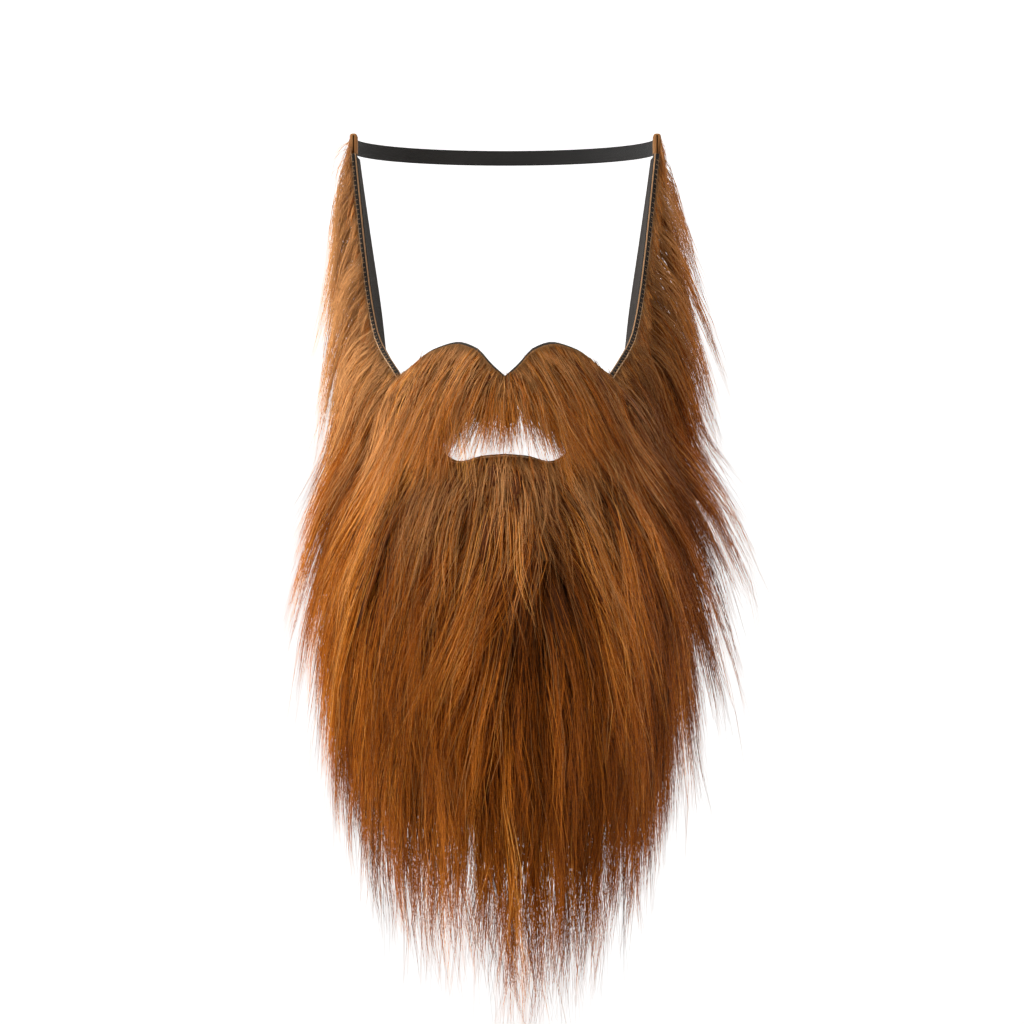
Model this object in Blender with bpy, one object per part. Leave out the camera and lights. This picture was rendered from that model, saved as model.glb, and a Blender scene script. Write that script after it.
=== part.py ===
"""A long false beard with a moustache, worn on the head by an elastic strap.

Metres, +Z up. The wearer faces -Y, so +X is the wearer's left. The origin is the point of the chin, on the
inner face of the lining.
"""

import math
from collections import namedtuple

import bmesh
import bpy
import numpy as np

# Landmark heights above the chin
TIP_HEIGHT = 0.172
NOSE_HEIGHT = 0.0535
LIP_HEIGHT = 0.013
PANEL_DROP = 0.160
HAIR_DROP = 0.270

# The head that the beard is cut for
HEAD_BREADTH = 0.151
FACE_DEPTH = 0.095
BACK_DEPTH = 0.100

# Cloth
LINING_THICKNESS = 0.0012
GROUND_THICKNESS = 0.0020
CLEARANCE = 0.0003
LINING_MARGIN = 0.0012
CHEEK_HEM_WIDTH = 0.0030
LIP_HEM_WIDTH = 0.0012

# Moustache panel
MOUSTACHE_HALF_ANGLE = 55.0
MOUSTACHE_RISE_ANGLES = (22.0, 33.0)
MOUSTACHE_LINING_THICKNESS = 0.0010

# Pile. Rows of locks overlap like shingles, each row standing clear of the one below it.
PILE_LENGTH = 0.112
ROW_PITCH = 0.030
FIRST_ROW_DROP = 0.009
LOCK_WIDTH = 0.0165
LOCK_DEPTH = 0.0065
LOCK_GAP = 0.0010
LEFT_FLARE = 0.60
MOUSTACHE_PILE_LENGTH = 0.036
MOUSTACHE_ROW_PITCH = 0.0092
MOUSTACHE_LOCK_WIDTH = 0.0104
MOUSTACHE_LOCK_DEPTH = 0.0038
MOUSTACHE_LOCK_GAP = 0.0005

# Elastic strap and the folded tabs that hold its ends
STRAP_WIDTH = 0.0080
STRAP_THICKNESS = 0.0010
TAB_WALL = 0.0012
TAB_LENGTH = 0.0130
TAB_ROUNDING = 0.0013
TAB_CORNER_STEPS = 2

# How finely the sheets are faceted
PANEL_COLUMNS = 36
PANEL_ROWS = 6
MOUSTACHE_COLUMNS = 20
MOUSTACHE_ROWS = 3
STRAP_STEPS = 28
HEM_SIDES = 6

SEED = 7

# A level counts landmarks: -2 the lowest hair tips, -1 the panel's lower edge, 0 the chin,
# 1 the lower lip edge, 2 the notch under the nose, 3 the strap ends.
LEVELS = (-2.0, -1.0, 0.0, 1.0, 2.0, 3.0)
LEVEL_HEIGHTS = (-HAIR_DROP, -PANEL_DROP, 0.0, LIP_HEIGHT, NOSE_HEIGHT, TIP_HEIGHT)

# The wearer's side of the lining. Widths are shares of half the head's breadth, depths of the face's depth.
Section = namedtuple("Section", "level half_width front")
FORM = (
    Section(-2.00, 0.84, 0.99),
    Section(-1.50, 0.90, 0.96),
    Section(-1.00, 0.97, 0.94),
    Section(-0.50, 1.01, 0.95),
    Section(-0.18, 0.95, 0.99),
    Section(0.00, 0.86, 1.02),
    Section(1.00, 0.84, 1.00),
    Section(2.00, 0.89, 0.99),
    Section(2.30, 0.92, 0.97),
    Section(2.65, 0.97, 0.95),
    Section(3.00, 1.02, 0.93),
)

# One half of the beard panel, from a strap end to the middle. The inner edge borders the face,
# the outer edge runs behind the ear and under the jaw. Angles are degrees round the head from the front.
Station = namedtuple("Station", "share inner_angle inner_level outer_angle outer_level")
PANEL = (
    Station(0.00, 86.0, 3.00, 99.0, 2.99),
    Station(0.12, 84.0, 2.73, 106.0, 2.63),
    Station(0.25, 80.0, 2.43, 112.0, 2.24),
    Station(0.38, 72.0, 2.21, 115.0, 1.62),
    Station(0.50, 53.0, 2.01, 112.0, 0.00),
    Station(0.61, 38.0, 1.47, 102.0, -0.28),
    Station(0.71, 28.0, 0.95, 84.0, -0.53),
    Station(0.81, 20.0, 0.70, 60.0, -0.77),
    Station(0.91, 10.0, 0.92, 32.0, -0.94),
    Station(1.00, 0.0, 1.00, 0.0, -1.00),
)

# One half of the moustache panel, from the middle outwards. The share is of its half angle.
Strip = namedtuple("Strip", "share top_level bottom_level")
MOUSTACHE = (
    Strip(0.00, 2.00, 1.64),
    Strip(0.10, 2.05, 1.66),
    Strip(0.22, 2.12, 1.68),
    Strip(0.36, 2.145, 1.66),
    Strip(0.52, 2.12, 1.62),
    Strip(0.70, 2.055, 1.57),
    Strip(0.88, 2.00, 1.52),
    Strip(1.00, 1.90, 1.55),
)

# How the pile lies at each level: degrees swept outwards at the sides, its length as a share of the pile's,
# and how steeply it stands out as a share of the steepness that the rows need to clear each other.
Lie = namedtuple("Lie", "level sweep length lift")
LIES = (
    Lie(-1.00, -2.0, 1.06, 1.00),
    Lie(-0.50, 0.0, 1.00, 1.00),
    Lie(0.00, 5.0, 1.00, 1.05),
    Lie(1.50, 8.0, 1.00, 1.25),
    Lie(2.40, 9.0, 0.85, 1.45),
    Lie(2.80, 6.0, 0.66, 1.70),
    Lie(3.00, 4.0, 0.50, 1.70),
)
MOUSTACHE_SWEEP = 27.0
MOUSTACHE_FOOT_LEVEL = 1.36

# A lock along its length. Width and depth are shares of the lock's.
Ring = namedtuple("Ring", "share width depth")
LOCK_RINGS = (
    Ring(0.00, 0.62, 0.10),
    Ring(0.14, 0.90, 0.75),
    Ring(0.38, 0.96, 1.00),
    Ring(0.66, 0.84, 0.86),
    Ring(0.86, 0.46, 0.50),
    Ring(1.00, 0.05, 0.08),
)

GROUND_INNER = LINING_THICKNESS + CLEARANCE
GROUND_OUTER = GROUND_INNER + GROUND_THICKNESS

Lock = namedtuple("Lock", "width depth gap pitch")
BEARD_LOCK = Lock(LOCK_WIDTH, LOCK_DEPTH, LOCK_GAP, ROW_PITCH)
MOUSTACHE_LOCK = Lock(MOUSTACHE_LOCK_WIDTH, MOUSTACHE_LOCK_DEPTH, MOUSTACHE_LOCK_GAP, MOUSTACHE_ROW_PITCH)


def column(rows, name):
    """One named column of a table, as an array."""
    return np.array([getattr(row, name) for row in rows], float)


def smooth(x, xs, ys):
    """A smooth curve through the points (xs, ys), read at x. It never overshoots them."""
    slopes = np.diff(ys) / np.diff(xs)
    tangents = np.zeros(len(xs))
    for i in range(1, len(xs) - 1):
        before, after = slopes[i - 1], slopes[i]
        if before * after > 0:
            tangents[i] = 2 * before * after / (before + after)
    tangents[0], tangents[-1] = slopes[0], slopes[-1]
    i = int(np.clip(np.searchsorted(xs, x) - 1, 0, len(xs) - 2))
    width = xs[i + 1] - xs[i]
    t = min(max((x - xs[i]) / width, 0.0), 1.0)
    return float(
        ys[i] * (1 + 2 * t) * (1 - t) ** 2
        + ys[i + 1] * t * t * (3 - 2 * t)
        + width * t * (1 - t) * (tangents[i] * (1 - t) - tangents[i + 1] * t)
    )


def height_of(level):
    """The height of a level, in metres above the chin."""
    return float(np.interp(level, LEVELS, LEVEL_HEIGHTS))


FORM_HEIGHTS = np.array([height_of(row.level) for row in FORM])
FORM_WIDTHS = column(FORM, "half_width") * HEAD_BREADTH / 2
FORM_FRONTS = column(FORM, "front") * FACE_DEPTH
EAR_PLANE = smooth(0.0, FORM_HEIGHTS, FORM_FRONTS)


def form_point(angle, height):
    """A point of the wearer's side of the lining. The angle is in degrees round the head from the front."""
    turn = math.radians(angle)
    return np.array([
        smooth(height, FORM_HEIGHTS, FORM_WIDTHS) * math.sin(turn),
        EAR_PLANE - smooth(height, FORM_HEIGHTS, FORM_FRONTS) * math.cos(turn),
        height,
    ])


def layer_point(angle, height, offset):
    """The point that lies this far outside the wearer's side of the lining."""
    step_angle, step_height = 0.5, 0.001
    across = form_point(angle + step_angle, height) - form_point(angle - step_angle, height)
    up = form_point(angle, height + step_height) - form_point(angle, height - step_height)
    outward = np.cross(across, up)
    return form_point(angle, height) + outward / np.linalg.norm(outward) * offset


def degrees_for(length, height):
    """How many degrees round the head a length takes at this height."""
    radius = smooth(height, FORM_HEIGHTS, FORM_WIDTHS)
    return math.degrees(length / radius)


def fabric(name, colour, roughness):
    """A plain cloth or fibre material."""
    material = bpy.data.materials.new(name)
    material.use_nodes = True
    shader = material.node_tree.nodes["Principled BSDF"]
    shader.inputs["Base Color"].default_value = (*colour, 1.0)
    shader.inputs["Roughness"].default_value = roughness
    shader.inputs["Metallic"].default_value = 0.0
    return material


def named_object(name, mesh, material=None, flat_above=40.0):
    """Puts a mesh in the scene as one named piece, shaded smooth except at its sharp edges."""
    piece = bpy.data.objects.new(name, mesh)
    bpy.context.scene.collection.objects.link(piece)
    mesh.shade_smooth()
    mesh.set_sharp_from_angle(angle=math.radians(flat_above))
    if material:
        mesh.materials.append(material)
    return piece


def skin_rings(rings, closed_round=True):
    """A closed mesh through rings of points, each ring in the same order, with both end rings filled."""
    shape = bmesh.new()
    loops = [[shape.verts.new(point) for point in ring] for ring in rings]
    count = len(loops[0])
    for lower, upper in zip(loops, loops[1:]):
        for i in range(count if closed_round else count - 1):
            j = (i + 1) % count
            shape.faces.new((lower[i], lower[j], upper[j], upper[i]))
    shape.faces.new(reversed(loops[0]))
    shape.faces.new(loops[-1])
    bmesh.ops.recalc_face_normals(shape, faces=shape.faces)
    return shape


def mesh_of(name, shape):
    """Turns a bmesh into a mesh."""
    mesh = bpy.data.meshes.new(name)
    shape.to_mesh(mesh)
    shape.free()
    return mesh


def sheet_mesh(name, inner, outer):
    """A closed sheet between two grids of points, laid out alike. Its halves are faceted as mirror images."""
    shape = bmesh.new()
    sides = [[[shape.verts.new(point) for point in line] for line in grid] for grid in (inner, outer)]
    rows, columns = len(inner), len(inner[0])
    for grid in sides:
        for r in range(rows - 1):
            for c in range(columns - 1):
                corner = [grid[r][c], grid[r][c + 1], grid[r + 1][c + 1], grid[r + 1][c]]
                if 2 * c < columns - 1:
                    corner = corner[1:] + corner[:1]
                shape.faces.new((corner[0], corner[1], corner[2]))
                shape.faces.new((corner[0], corner[2], corner[3]))
    rim = [(0, c) for c in range(columns)]
    rim += [(r, columns - 1) for r in range(1, rows)]
    rim += [(rows - 1, c) for c in range(columns - 2, -1, -1)]
    rim += [(r, 0) for r in range(rows - 2, 0, -1)]
    for (r, c), (s, d) in zip(rim, rim[1:] + rim[:1]):
        shape.faces.new((sides[0][r][c], sides[1][r][c], sides[1][s][d], sides[0][s][d]))
    bmesh.ops.recalc_face_normals(shape, faces=shape.faces)
    return mesh_of(name, shape)


def panel_edges(along):
    """The beard panel's inner and outer edge at -1 (right strap end) to 1 (left strap end), as angle and height."""
    side = math.copysign(1.0, along)
    share = 1.0 - abs(along)
    shares = column(PANEL, "share")
    inner_heights = np.array([height_of(row.inner_level) for row in PANEL])
    outer_heights = np.array([height_of(row.outer_level) for row in PANEL])
    inner = (side * smooth(share, shares, column(PANEL, "inner_angle")), smooth(share, shares, inner_heights))
    outer = (side * smooth(share, shares, column(PANEL, "outer_angle")), smooth(share, shares, outer_heights))
    return inner, outer


def panel_grid(offset, margin=0.0):
    """The beard panel's points at an offset from the form, with one more row past its inner edge for a margin."""
    grid = []
    for r in range(-1 if margin else 0, PANEL_ROWS + 1):
        line = []
        for c in range(PANEL_COLUMNS + 1):
            inner, outer = panel_edges(2.0 * c / PANEL_COLUMNS - 1.0)
            width = np.hypot(
                (outer[0] - inner[0]) / degrees_for(1.0, inner[1]),
                outer[1] - inner[1],
            )
            v = r / PANEL_ROWS if r >= 0 else -margin / width
            angle = inner[0] + (outer[0] - inner[0]) * v
            height = inner[1] + (outer[1] - inner[1]) * v
            line.append(layer_point(angle, height, offset))
        grid.append(line)
    return grid


def moustache_edges(along):
    """The moustache panel's top and bottom height at -1 (right end) to 1 (left end)."""
    shares = column(MOUSTACHE, "share")
    tops = np.array([height_of(row.top_level) for row in MOUSTACHE])
    bottoms = np.array([height_of(row.bottom_level) for row in MOUSTACHE])
    return smooth(abs(along), shares, tops), smooth(abs(along), shares, bottoms)


def moustache_base(angle):
    """How far the moustache's inner face lies outside the form: on the lip, then over the beard panel's ends."""
    start, end = MOUSTACHE_RISE_ANGLES
    over = min(max((abs(angle) - start) / (end - start), 0.0), 1.0)
    return (GROUND_OUTER + CLEARANCE) * over


def moustache_root(angle):
    """The middle of the moustache's cloth, where its locks are rooted."""
    return moustache_base(angle) + MOUSTACHE_LINING_THICKNESS + CLEARANCE + 0.5 * GROUND_THICKNESS


def moustache_grid(offset, margin=0.0):
    """The moustache panel's points at an offset from its inner face, with one more row above for a margin."""
    grid = []
    for r in range(-1 if margin else 0, MOUSTACHE_ROWS + 1):
        line = []
        for c in range(MOUSTACHE_COLUMNS + 1):
            along = 2.0 * c / MOUSTACHE_COLUMNS - 1.0
            top, bottom = moustache_edges(along)
            height = top + (bottom - top) * r / MOUSTACHE_ROWS if r >= 0 else top + margin
            angle = along * MOUSTACHE_HALF_ANGLE
            line.append(layer_point(angle, height, moustache_base(angle) + offset))
        grid.append(line)
    return grid


def panel_span(height):
    """The angles at which the beard panel's edges stand at this height."""
    inner_heights = np.array([height_of(row.inner_level) for row in PANEL])
    outer_heights = np.array([height_of(row.outer_level) for row in PANEL])
    outer = np.interp(height, outer_heights[::-1], column(PANEL, "outer_angle")[::-1])
    dip = int(np.argmin(inner_heights))
    cheek = inner_heights[: dip + 1]
    inner = 0.0
    if height > cheek.min():
        inner = np.interp(height, cheek[::-1], column(PANEL, "inner_angle")[: dip + 1][::-1])
    return float(inner), float(outer)


def beard_root(angle):
    """The middle of the beard's cloth, where its locks are rooted. It is the same at every angle."""
    return GROUND_INNER + 0.5 * GROUND_THICKNESS


def lock_shape(angle, height, length, sweep, lift, lock, root):
    """One lock of pile: a tapered body that leaves the cloth, falls along the form and ends in a point."""
    rings = []
    side = math.copysign(1.0, angle)
    for ring in LOCK_RINGS:
        down = length * ring.share
        ring_height = height - down * math.cos(math.radians(sweep))
        across = down * math.sin(math.radians(sweep)) * (1 - 0.35 * ring.share)
        middle = angle + side * degrees_for(across, height)
        half = degrees_for(lock.width * ring.width / 2, height)
        under = root(middle) + lift * (lock.depth + lock.gap) * down / lock.pitch
        over = under + lock.depth * ring.depth
        edge = (under + over) / 2
        rings.append([
            layer_point(middle - half, ring_height, edge),
            layer_point(middle, ring_height, under),
            layer_point(middle + half, ring_height, edge),
            layer_point(middle, ring_height, over),
        ])
    return skin_rings(rings)


def joined(name, shapes):
    """Puts several closed shapes into one mesh."""
    mesh = bpy.data.meshes.new(name)
    whole = bmesh.new()
    for shape in shapes:
        part = mesh_of(name + "_part", shape)
        whole.from_mesh(part)
        bpy.data.meshes.remove(part)
    whole.to_mesh(mesh)
    whole.free()
    return mesh


def fuse(ground, locks):
    """Unites the locks with the cloth that they grow from, and fills the pockets sealed in between them."""
    union = ground.modifiers.new("fuse_locks", "BOOLEAN")
    union.operation = "UNION"
    union.solver = "EXACT"
    union.use_self = True
    union.object = locks
    graph = bpy.context.evaluated_depsgraph_get()
    fused = bpy.data.meshes.new_from_object(ground.evaluated_get(graph))
    ground.modifiers.clear()
    bpy.data.objects.remove(locks)
    shape = bmesh.new()
    shape.from_mesh(fused)
    bodies = islands(shape)
    outside = max(bodies, key=len)
    pockets = [face for body in bodies if body is not outside for face in body]
    bmesh.ops.delete(shape, geom=pockets, context="FACES")
    shape.to_mesh(fused)
    shape.free()
    ground.data = fused


def islands(shape):
    """The faces of each connected surface in a bmesh."""
    left = set(shape.faces)
    found = []
    while left:
        body = [left.pop()]
        for face in body:
            for edge in face.edges:
                for other in edge.link_faces:
                    if other in left:
                        left.remove(other)
                        body.append(other)
        found.append(body)
    return found


def spread(first, last, step, shifted):
    """Places at about this step from first to last. A shifted row stands half a step along."""
    count = max(int(round((last - first) / step)), 1)
    pitch = (last - first) / count
    start = first + pitch * (0.5 if shifted else 0.0)
    return [start + pitch * i for i in range(count if shifted else count + 1)]


def beard_locks(chance):
    """Every lock of the beard, row by row, from the strap ends to the lower edge."""
    shapes = []
    lie_heights = np.array([height_of(row.level) for row in LIES])
    under_moustache = height_of(min(row.bottom_level for row in MOUSTACHE)) - ROW_PITCH / 2
    first_row = LIP_HEIGHT - FIRST_ROW_DROP
    rows_above = int((TIP_HEIGHT - first_row - LOCK_DEPTH) / ROW_PITCH)
    rows_below = int((first_row + PANEL_DROP - LOCK_DEPTH) / ROW_PITCH)
    for number in range(-rows_above, rows_below + 1):
        height = first_row - number * ROW_PITCH
        half_lock = degrees_for(LOCK_WIDTH, height) / 2
        inner, outer = panel_span(height)
        if under_moustache < height < NOSE_HEIGHT + ROW_PITCH / 2:
            inner = max(inner, MOUSTACHE_HALF_ANGLE + half_lock)
        if inner > 0:
            first, last = inner + half_lock, outer - half_lock
            angles = spread(first, max(last, first), 2 * half_lock, False)
            angles = [-angle for angle in reversed(angles)] + angles
        else:
            angles = spread(half_lock - outer, outer - half_lock, 2 * half_lock, number % 2 == 0)
        for angle in angles:
            sweep = smooth(height, lie_heights, column(LIES, "sweep")) * min(abs(angle) / 45.0, 1.0)
            length = smooth(height, lie_heights, column(LIES, "length")) * PILE_LENGTH
            lift = smooth(height, lie_heights, column(LIES, "lift"))
            if angle > 60.0 and height > 0.0:
                lift *= 1 + LEFT_FLARE * chance.uniform() ** 2
            shapes.append(lock_shape(
                angle,
                height,
                length * (1 + chance.uniform(-0.10, 0.10)),
                sweep + chance.uniform(-1.5, 1.5),
                lift,
                BEARD_LOCK,
                beard_root,
            ))
    return shapes


def moustache_locks(chance):
    """Every lock of the moustache, from its upper edge down. None reaches down over the mouth."""
    shapes = []
    step = degrees_for(MOUSTACHE_LOCK_WIDTH, NOSE_HEIGHT)
    foot = height_of(MOUSTACHE_FOOT_LEVEL)
    for number in range(2):
        for angle in spread(step / 2, MOUSTACHE_HALF_ANGLE - step / 2, step, number == 1):
            top, bottom = moustache_edges(angle / MOUSTACHE_HALF_ANGLE)
            height = top - MOUSTACHE_ROW_PITCH * (number + 0.3)
            sweep = MOUSTACHE_SWEEP * min(0.35 + angle / 30.0, 1.0) * (1 - angle / MOUSTACHE_HALF_ANGLE)
            length = min(MOUSTACHE_PILE_LENGTH, height - foot)
            for side in (-1, 1):
                shapes.append(lock_shape(
                    side * angle,
                    height,
                    length * (1 - chance.uniform(0.0, 0.12)),
                    sweep,
                    1.0,
                    MOUSTACHE_LOCK,
                    moustache_root,
                ))
    return shapes


def hem_mesh():
    """The turned edge that runs along the panel's inner edge from one strap end to the other."""
    rings = []
    middle = GROUND_OUTER / 2
    for c in range(PANEL_COLUMNS + 1):
        along = 2.0 * c / PANEL_COLUMNS - 1.0
        inner, outer = panel_edges(along)
        width = LIP_HEM_WIDTH + (CHEEK_HEM_WIDTH - LIP_HEM_WIDTH) * abs(along)
        toward = np.array([
            (inner[0] - outer[0]) / degrees_for(1.0, inner[1]),
            inner[1] - outer[1],
        ])
        toward /= np.linalg.norm(toward)
        ring = []
        for k in range(HEM_SIDES):
            turn = 2 * math.pi * k / HEM_SIDES
            reach = LINING_MARGIN + CLEARANCE + width / 2 * (1 + math.cos(turn))
            angle = inner[0] + degrees_for(toward[0] * reach, inner[1])
            ring.append(layer_point(angle, inner[1] + toward[1] * reach, middle * (1 + math.sin(turn))))
        rings.append(ring)
    return mesh_of("face_edge_hem", skin_rings(rings))


def rounded_rectangle(width, height, radius):
    """Points round a rectangle with rounded corners, centred on the origin."""
    points = []
    for quarter in range(4):
        start = quarter * math.pi / 2
        corner_x = (width / 2 - radius) * (1 if quarter in (0, 3) else -1)
        corner_y = (height / 2 - radius) * (1 if quarter in (0, 1) else -1)
        for k in range(TAB_CORNER_STEPS + 1):
            turn = start + k * math.pi / 2 / TAB_CORNER_STEPS
            points.append((corner_x + radius * math.cos(turn), corner_y + radius * math.sin(turn)))
    return points


Tab = namedtuple("Tab", "x front z thickness tall")


def left_tab():
    """The place and size of the tab over the left strap end. The right one is its mirror image."""
    seat = form_point((PANEL[0].inner_angle + PANEL[0].outer_angle) / 2, TIP_HEIGHT)
    thickness = STRAP_THICKNESS + 2 * CLEARANCE + 2 * TAB_WALL
    tall = STRAP_WIDTH + 2 * CLEARANCE + 2 * TAB_WALL
    return Tab(
        seat[0] + thickness / 2,
        seat[1] - TAB_LENGTH / 2,
        TIP_HEIGHT + CLEARANCE + tall / 2,
        thickness,
        tall,
    )


def tab_mesh(side):
    """A fold of cloth closed at its front, with a slot that takes the strap's end from behind."""
    tab = left_tab()
    outline = rounded_rectangle(tab.thickness, tab.tall, TAB_ROUNDING)
    slot = rounded_rectangle(STRAP_THICKNESS + 2 * CLEARANCE, STRAP_WIDTH + 2 * CLEARANCE, CLEARANCE)
    loops = (
        (slot, tab.front + TAB_WALL),
        (slot, tab.front + TAB_LENGTH),
        (outline, tab.front + TAB_LENGTH),
        (outline, tab.front),
    )
    rings = [[(side * (tab.x + x), y, tab.z + z) for x, z in loop] for loop, y in loops]
    return mesh_of("strap_tab", skin_rings(rings))


def strap_mesh():
    """The flat elastic: straight inside each tab, then round the back of the head."""
    tab = left_tab()
    slot_end = tab.front + TAB_WALL + CLEARANCE
    mouth = tab.front + TAB_LENGTH
    back = EAR_PLANE + BACK_DEPTH - mouth
    path = [(tab.x, slot_end, 1.0, 0.0)]
    for k in range(STRAP_STEPS + 1):
        turn = math.pi * k / STRAP_STEPS
        normal = np.array([math.cos(turn) / tab.x, math.sin(turn) / back])
        normal /= np.linalg.norm(normal)
        path.append((tab.x * math.cos(turn), mouth + back * math.sin(turn), *normal))
    path.append((-tab.x, slot_end, -1.0, 0.0))
    rings = []
    for x, y, normal_x, normal_y in path:
        rings.append([
            (
                x + normal_x * out * STRAP_THICKNESS / 2,
                y + normal_y * out * STRAP_THICKNESS / 2,
                tab.z + up * STRAP_WIDTH / 2,
            )
            for out, up in ((1, 1), (-1, 1), (-1, -1), (1, -1))
        ])
    return mesh_of("elastic_strap", skin_rings(rings))


def main():
    """Builds every piece of the beard."""
    for old in list(bpy.data.objects):
        bpy.data.objects.remove(old)
    chance = np.random.default_rng(SEED)
    pile = fabric("ginger_pile", (0.36, 0.13, 0.03), 0.55)
    cloth = fabric("dark_lining", (0.03, 0.02, 0.016), 0.9)
    hem = fabric("tan_hem", (0.38, 0.20, 0.09), 0.85)
    elastic = fabric("black_elastic", (0.02, 0.02, 0.02), 0.7)

    lining = sheet_mesh(
        "beard_lining",
        panel_grid(0.0, LINING_MARGIN),
        panel_grid(LINING_THICKNESS, LINING_MARGIN),
    )
    named_object("beard_lining", lining, cloth)
    ground = sheet_mesh("beard_fur", panel_grid(GROUND_INNER), panel_grid(GROUND_OUTER))
    beard = named_object("beard_fur", ground, pile)
    fuse(beard, named_object("beard_locks", joined("beard_locks", beard_locks(chance)), pile))

    lip_lining = sheet_mesh(
        "moustache_lining",
        moustache_grid(0.0, LINING_MARGIN),
        moustache_grid(MOUSTACHE_LINING_THICKNESS, LINING_MARGIN),
    )
    named_object("moustache_lining", lip_lining, cloth)
    base = MOUSTACHE_LINING_THICKNESS + CLEARANCE
    lip_ground = sheet_mesh("moustache_fur", moustache_grid(base), moustache_grid(base + GROUND_THICKNESS))
    lip = named_object("moustache_fur", lip_ground, pile)
    fuse(lip, named_object("moustache_locks", joined("moustache_locks", moustache_locks(chance)), pile))

    named_object("face_edge_hem", hem_mesh(), hem)
    named_object("strap_tab_left", tab_mesh(1), hem)
    named_object("strap_tab_right", tab_mesh(-1), hem)
    named_object("elastic_strap", strap_mesh(), elastic)


main()
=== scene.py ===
"""Looks of a long ginger false beard with a moustache, on its elastic strap.

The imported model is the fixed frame. Every strand is a swept tube that a Geometry Nodes tree makes round the
guides of a groom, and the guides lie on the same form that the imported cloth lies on.

Metres, +Z up. The wearer faces -Y, so +X is the wearer's left. The origin is the point of the chin.
"""

import logging
import math
from dataclasses import dataclass
from enum import Enum
from typing import NamedTuple, Sequence

import bpy
import numpy as np
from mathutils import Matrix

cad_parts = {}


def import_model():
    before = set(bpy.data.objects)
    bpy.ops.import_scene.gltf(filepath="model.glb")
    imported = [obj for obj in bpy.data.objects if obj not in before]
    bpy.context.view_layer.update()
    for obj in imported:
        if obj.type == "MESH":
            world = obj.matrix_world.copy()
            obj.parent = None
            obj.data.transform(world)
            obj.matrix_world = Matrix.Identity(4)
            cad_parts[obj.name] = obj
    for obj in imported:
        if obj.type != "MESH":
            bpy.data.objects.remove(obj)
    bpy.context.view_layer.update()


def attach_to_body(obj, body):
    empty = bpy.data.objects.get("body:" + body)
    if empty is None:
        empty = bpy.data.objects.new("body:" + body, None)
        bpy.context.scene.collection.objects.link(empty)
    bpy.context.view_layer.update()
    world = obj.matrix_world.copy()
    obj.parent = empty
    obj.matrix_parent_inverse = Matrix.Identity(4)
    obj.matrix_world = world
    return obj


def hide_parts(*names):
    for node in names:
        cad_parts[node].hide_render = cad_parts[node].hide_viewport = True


logging.basicConfig(level=logging.INFO, format="%(message)s")
LOG = logging.getLogger("beard")

Array = np.ndarray


# Worn form


class Landmarks(NamedTuple):
    """Heights above the chin, and the sizes that the beard is cut for, in metres."""

    tip: float = 0.172
    notch: float = 0.0535
    lip: float = 0.013
    panel_drop: float = 0.160
    hair_drop: float = 0.270
    breadth: float = 0.151
    front_depth: float = 0.095
    back_depth: float = 0.100


class Section(NamedTuple):
    """The form at one level. Width is a share of half the breadth, front a share of the front depth."""

    level: float
    half_width: float
    front: float


class Station(NamedTuple):
    """The panel's edges at a share of the way from a strap end to the middle. Angles are in degrees."""

    share: float
    inner_angle: float
    inner_level: float
    outer_angle: float
    outer_level: float


class Strip(NamedTuple):
    """The moustache's edges at a share of its half angle."""

    share: float
    top_level: float
    bottom_level: float


SIZES = Landmarks()
LEVELS = (-2.0, -1.0, 0.0, 1.0, 2.0, 3.0)
LEVEL_HEIGHTS = (-SIZES.hair_drop, -SIZES.panel_drop, 0.0, SIZES.lip, SIZES.notch, SIZES.tip)

FORM = (
    Section(-2.00, 0.84, 0.99),
    Section(-1.50, 0.90, 0.96),
    Section(-1.00, 0.97, 0.94),
    Section(-0.50, 1.01, 0.95),
    Section(-0.18, 0.95, 0.99),
    Section(0.00, 0.86, 1.02),
    Section(1.00, 0.84, 1.00),
    Section(2.00, 0.89, 0.99),
    Section(2.30, 0.92, 0.97),
    Section(2.65, 0.97, 0.95),
    Section(3.00, 1.02, 0.93),
)
PANEL = (
    Station(0.00, 86.0, 3.00, 99.0, 2.99),
    Station(0.12, 84.0, 2.73, 106.0, 2.63),
    Station(0.25, 80.0, 2.43, 112.0, 2.24),
    Station(0.38, 72.0, 2.21, 115.0, 1.62),
    Station(0.50, 53.0, 2.01, 112.0, 0.00),
    Station(0.61, 38.0, 1.47, 102.0, -0.28),
    Station(0.71, 28.0, 0.95, 84.0, -0.53),
    Station(0.81, 20.0, 0.70, 60.0, -0.77),
    Station(0.91, 10.0, 0.92, 32.0, -0.94),
    Station(1.00, 0.0, 1.00, 0.0, -1.00),
)
MOUSTACHE = (
    Strip(0.00, 2.00, 1.64),
    Strip(0.10, 2.05, 1.66),
    Strip(0.22, 2.12, 1.68),
    Strip(0.36, 2.145, 1.66),
    Strip(0.52, 2.12, 1.62),
    Strip(0.70, 2.055, 1.57),
    Strip(0.88, 2.00, 1.52),
    Strip(1.00, 1.90, 1.55),
)

LINING_THICKNESS = 0.0012
GROUND_THICKNESS = 0.0020
CLEARANCE = 0.0003
LINING_MARGIN = 0.0012
MOUSTACHE_LINING_THICKNESS = 0.0010
MOUSTACHE_HALF_ANGLE = 55.0
MOUSTACHE_RISE_ANGLES = (22.0, 33.0)
GROUND_INNER = LINING_THICKNESS + CLEARANCE
GROUND_OUTER = GROUND_INNER + GROUND_THICKNESS
LOCK_SINK = 0.0002


def column(rows: Sequence[NamedTuple], name: str) -> Array:
    """One named column of a table, as an array."""
    return np.array([getattr(row, name) for row in rows], float)


def height_of(level: float | Array) -> Array:
    """The height of a level, in metres above the chin."""
    return np.interp(level, LEVELS, LEVEL_HEIGHTS)


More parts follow.
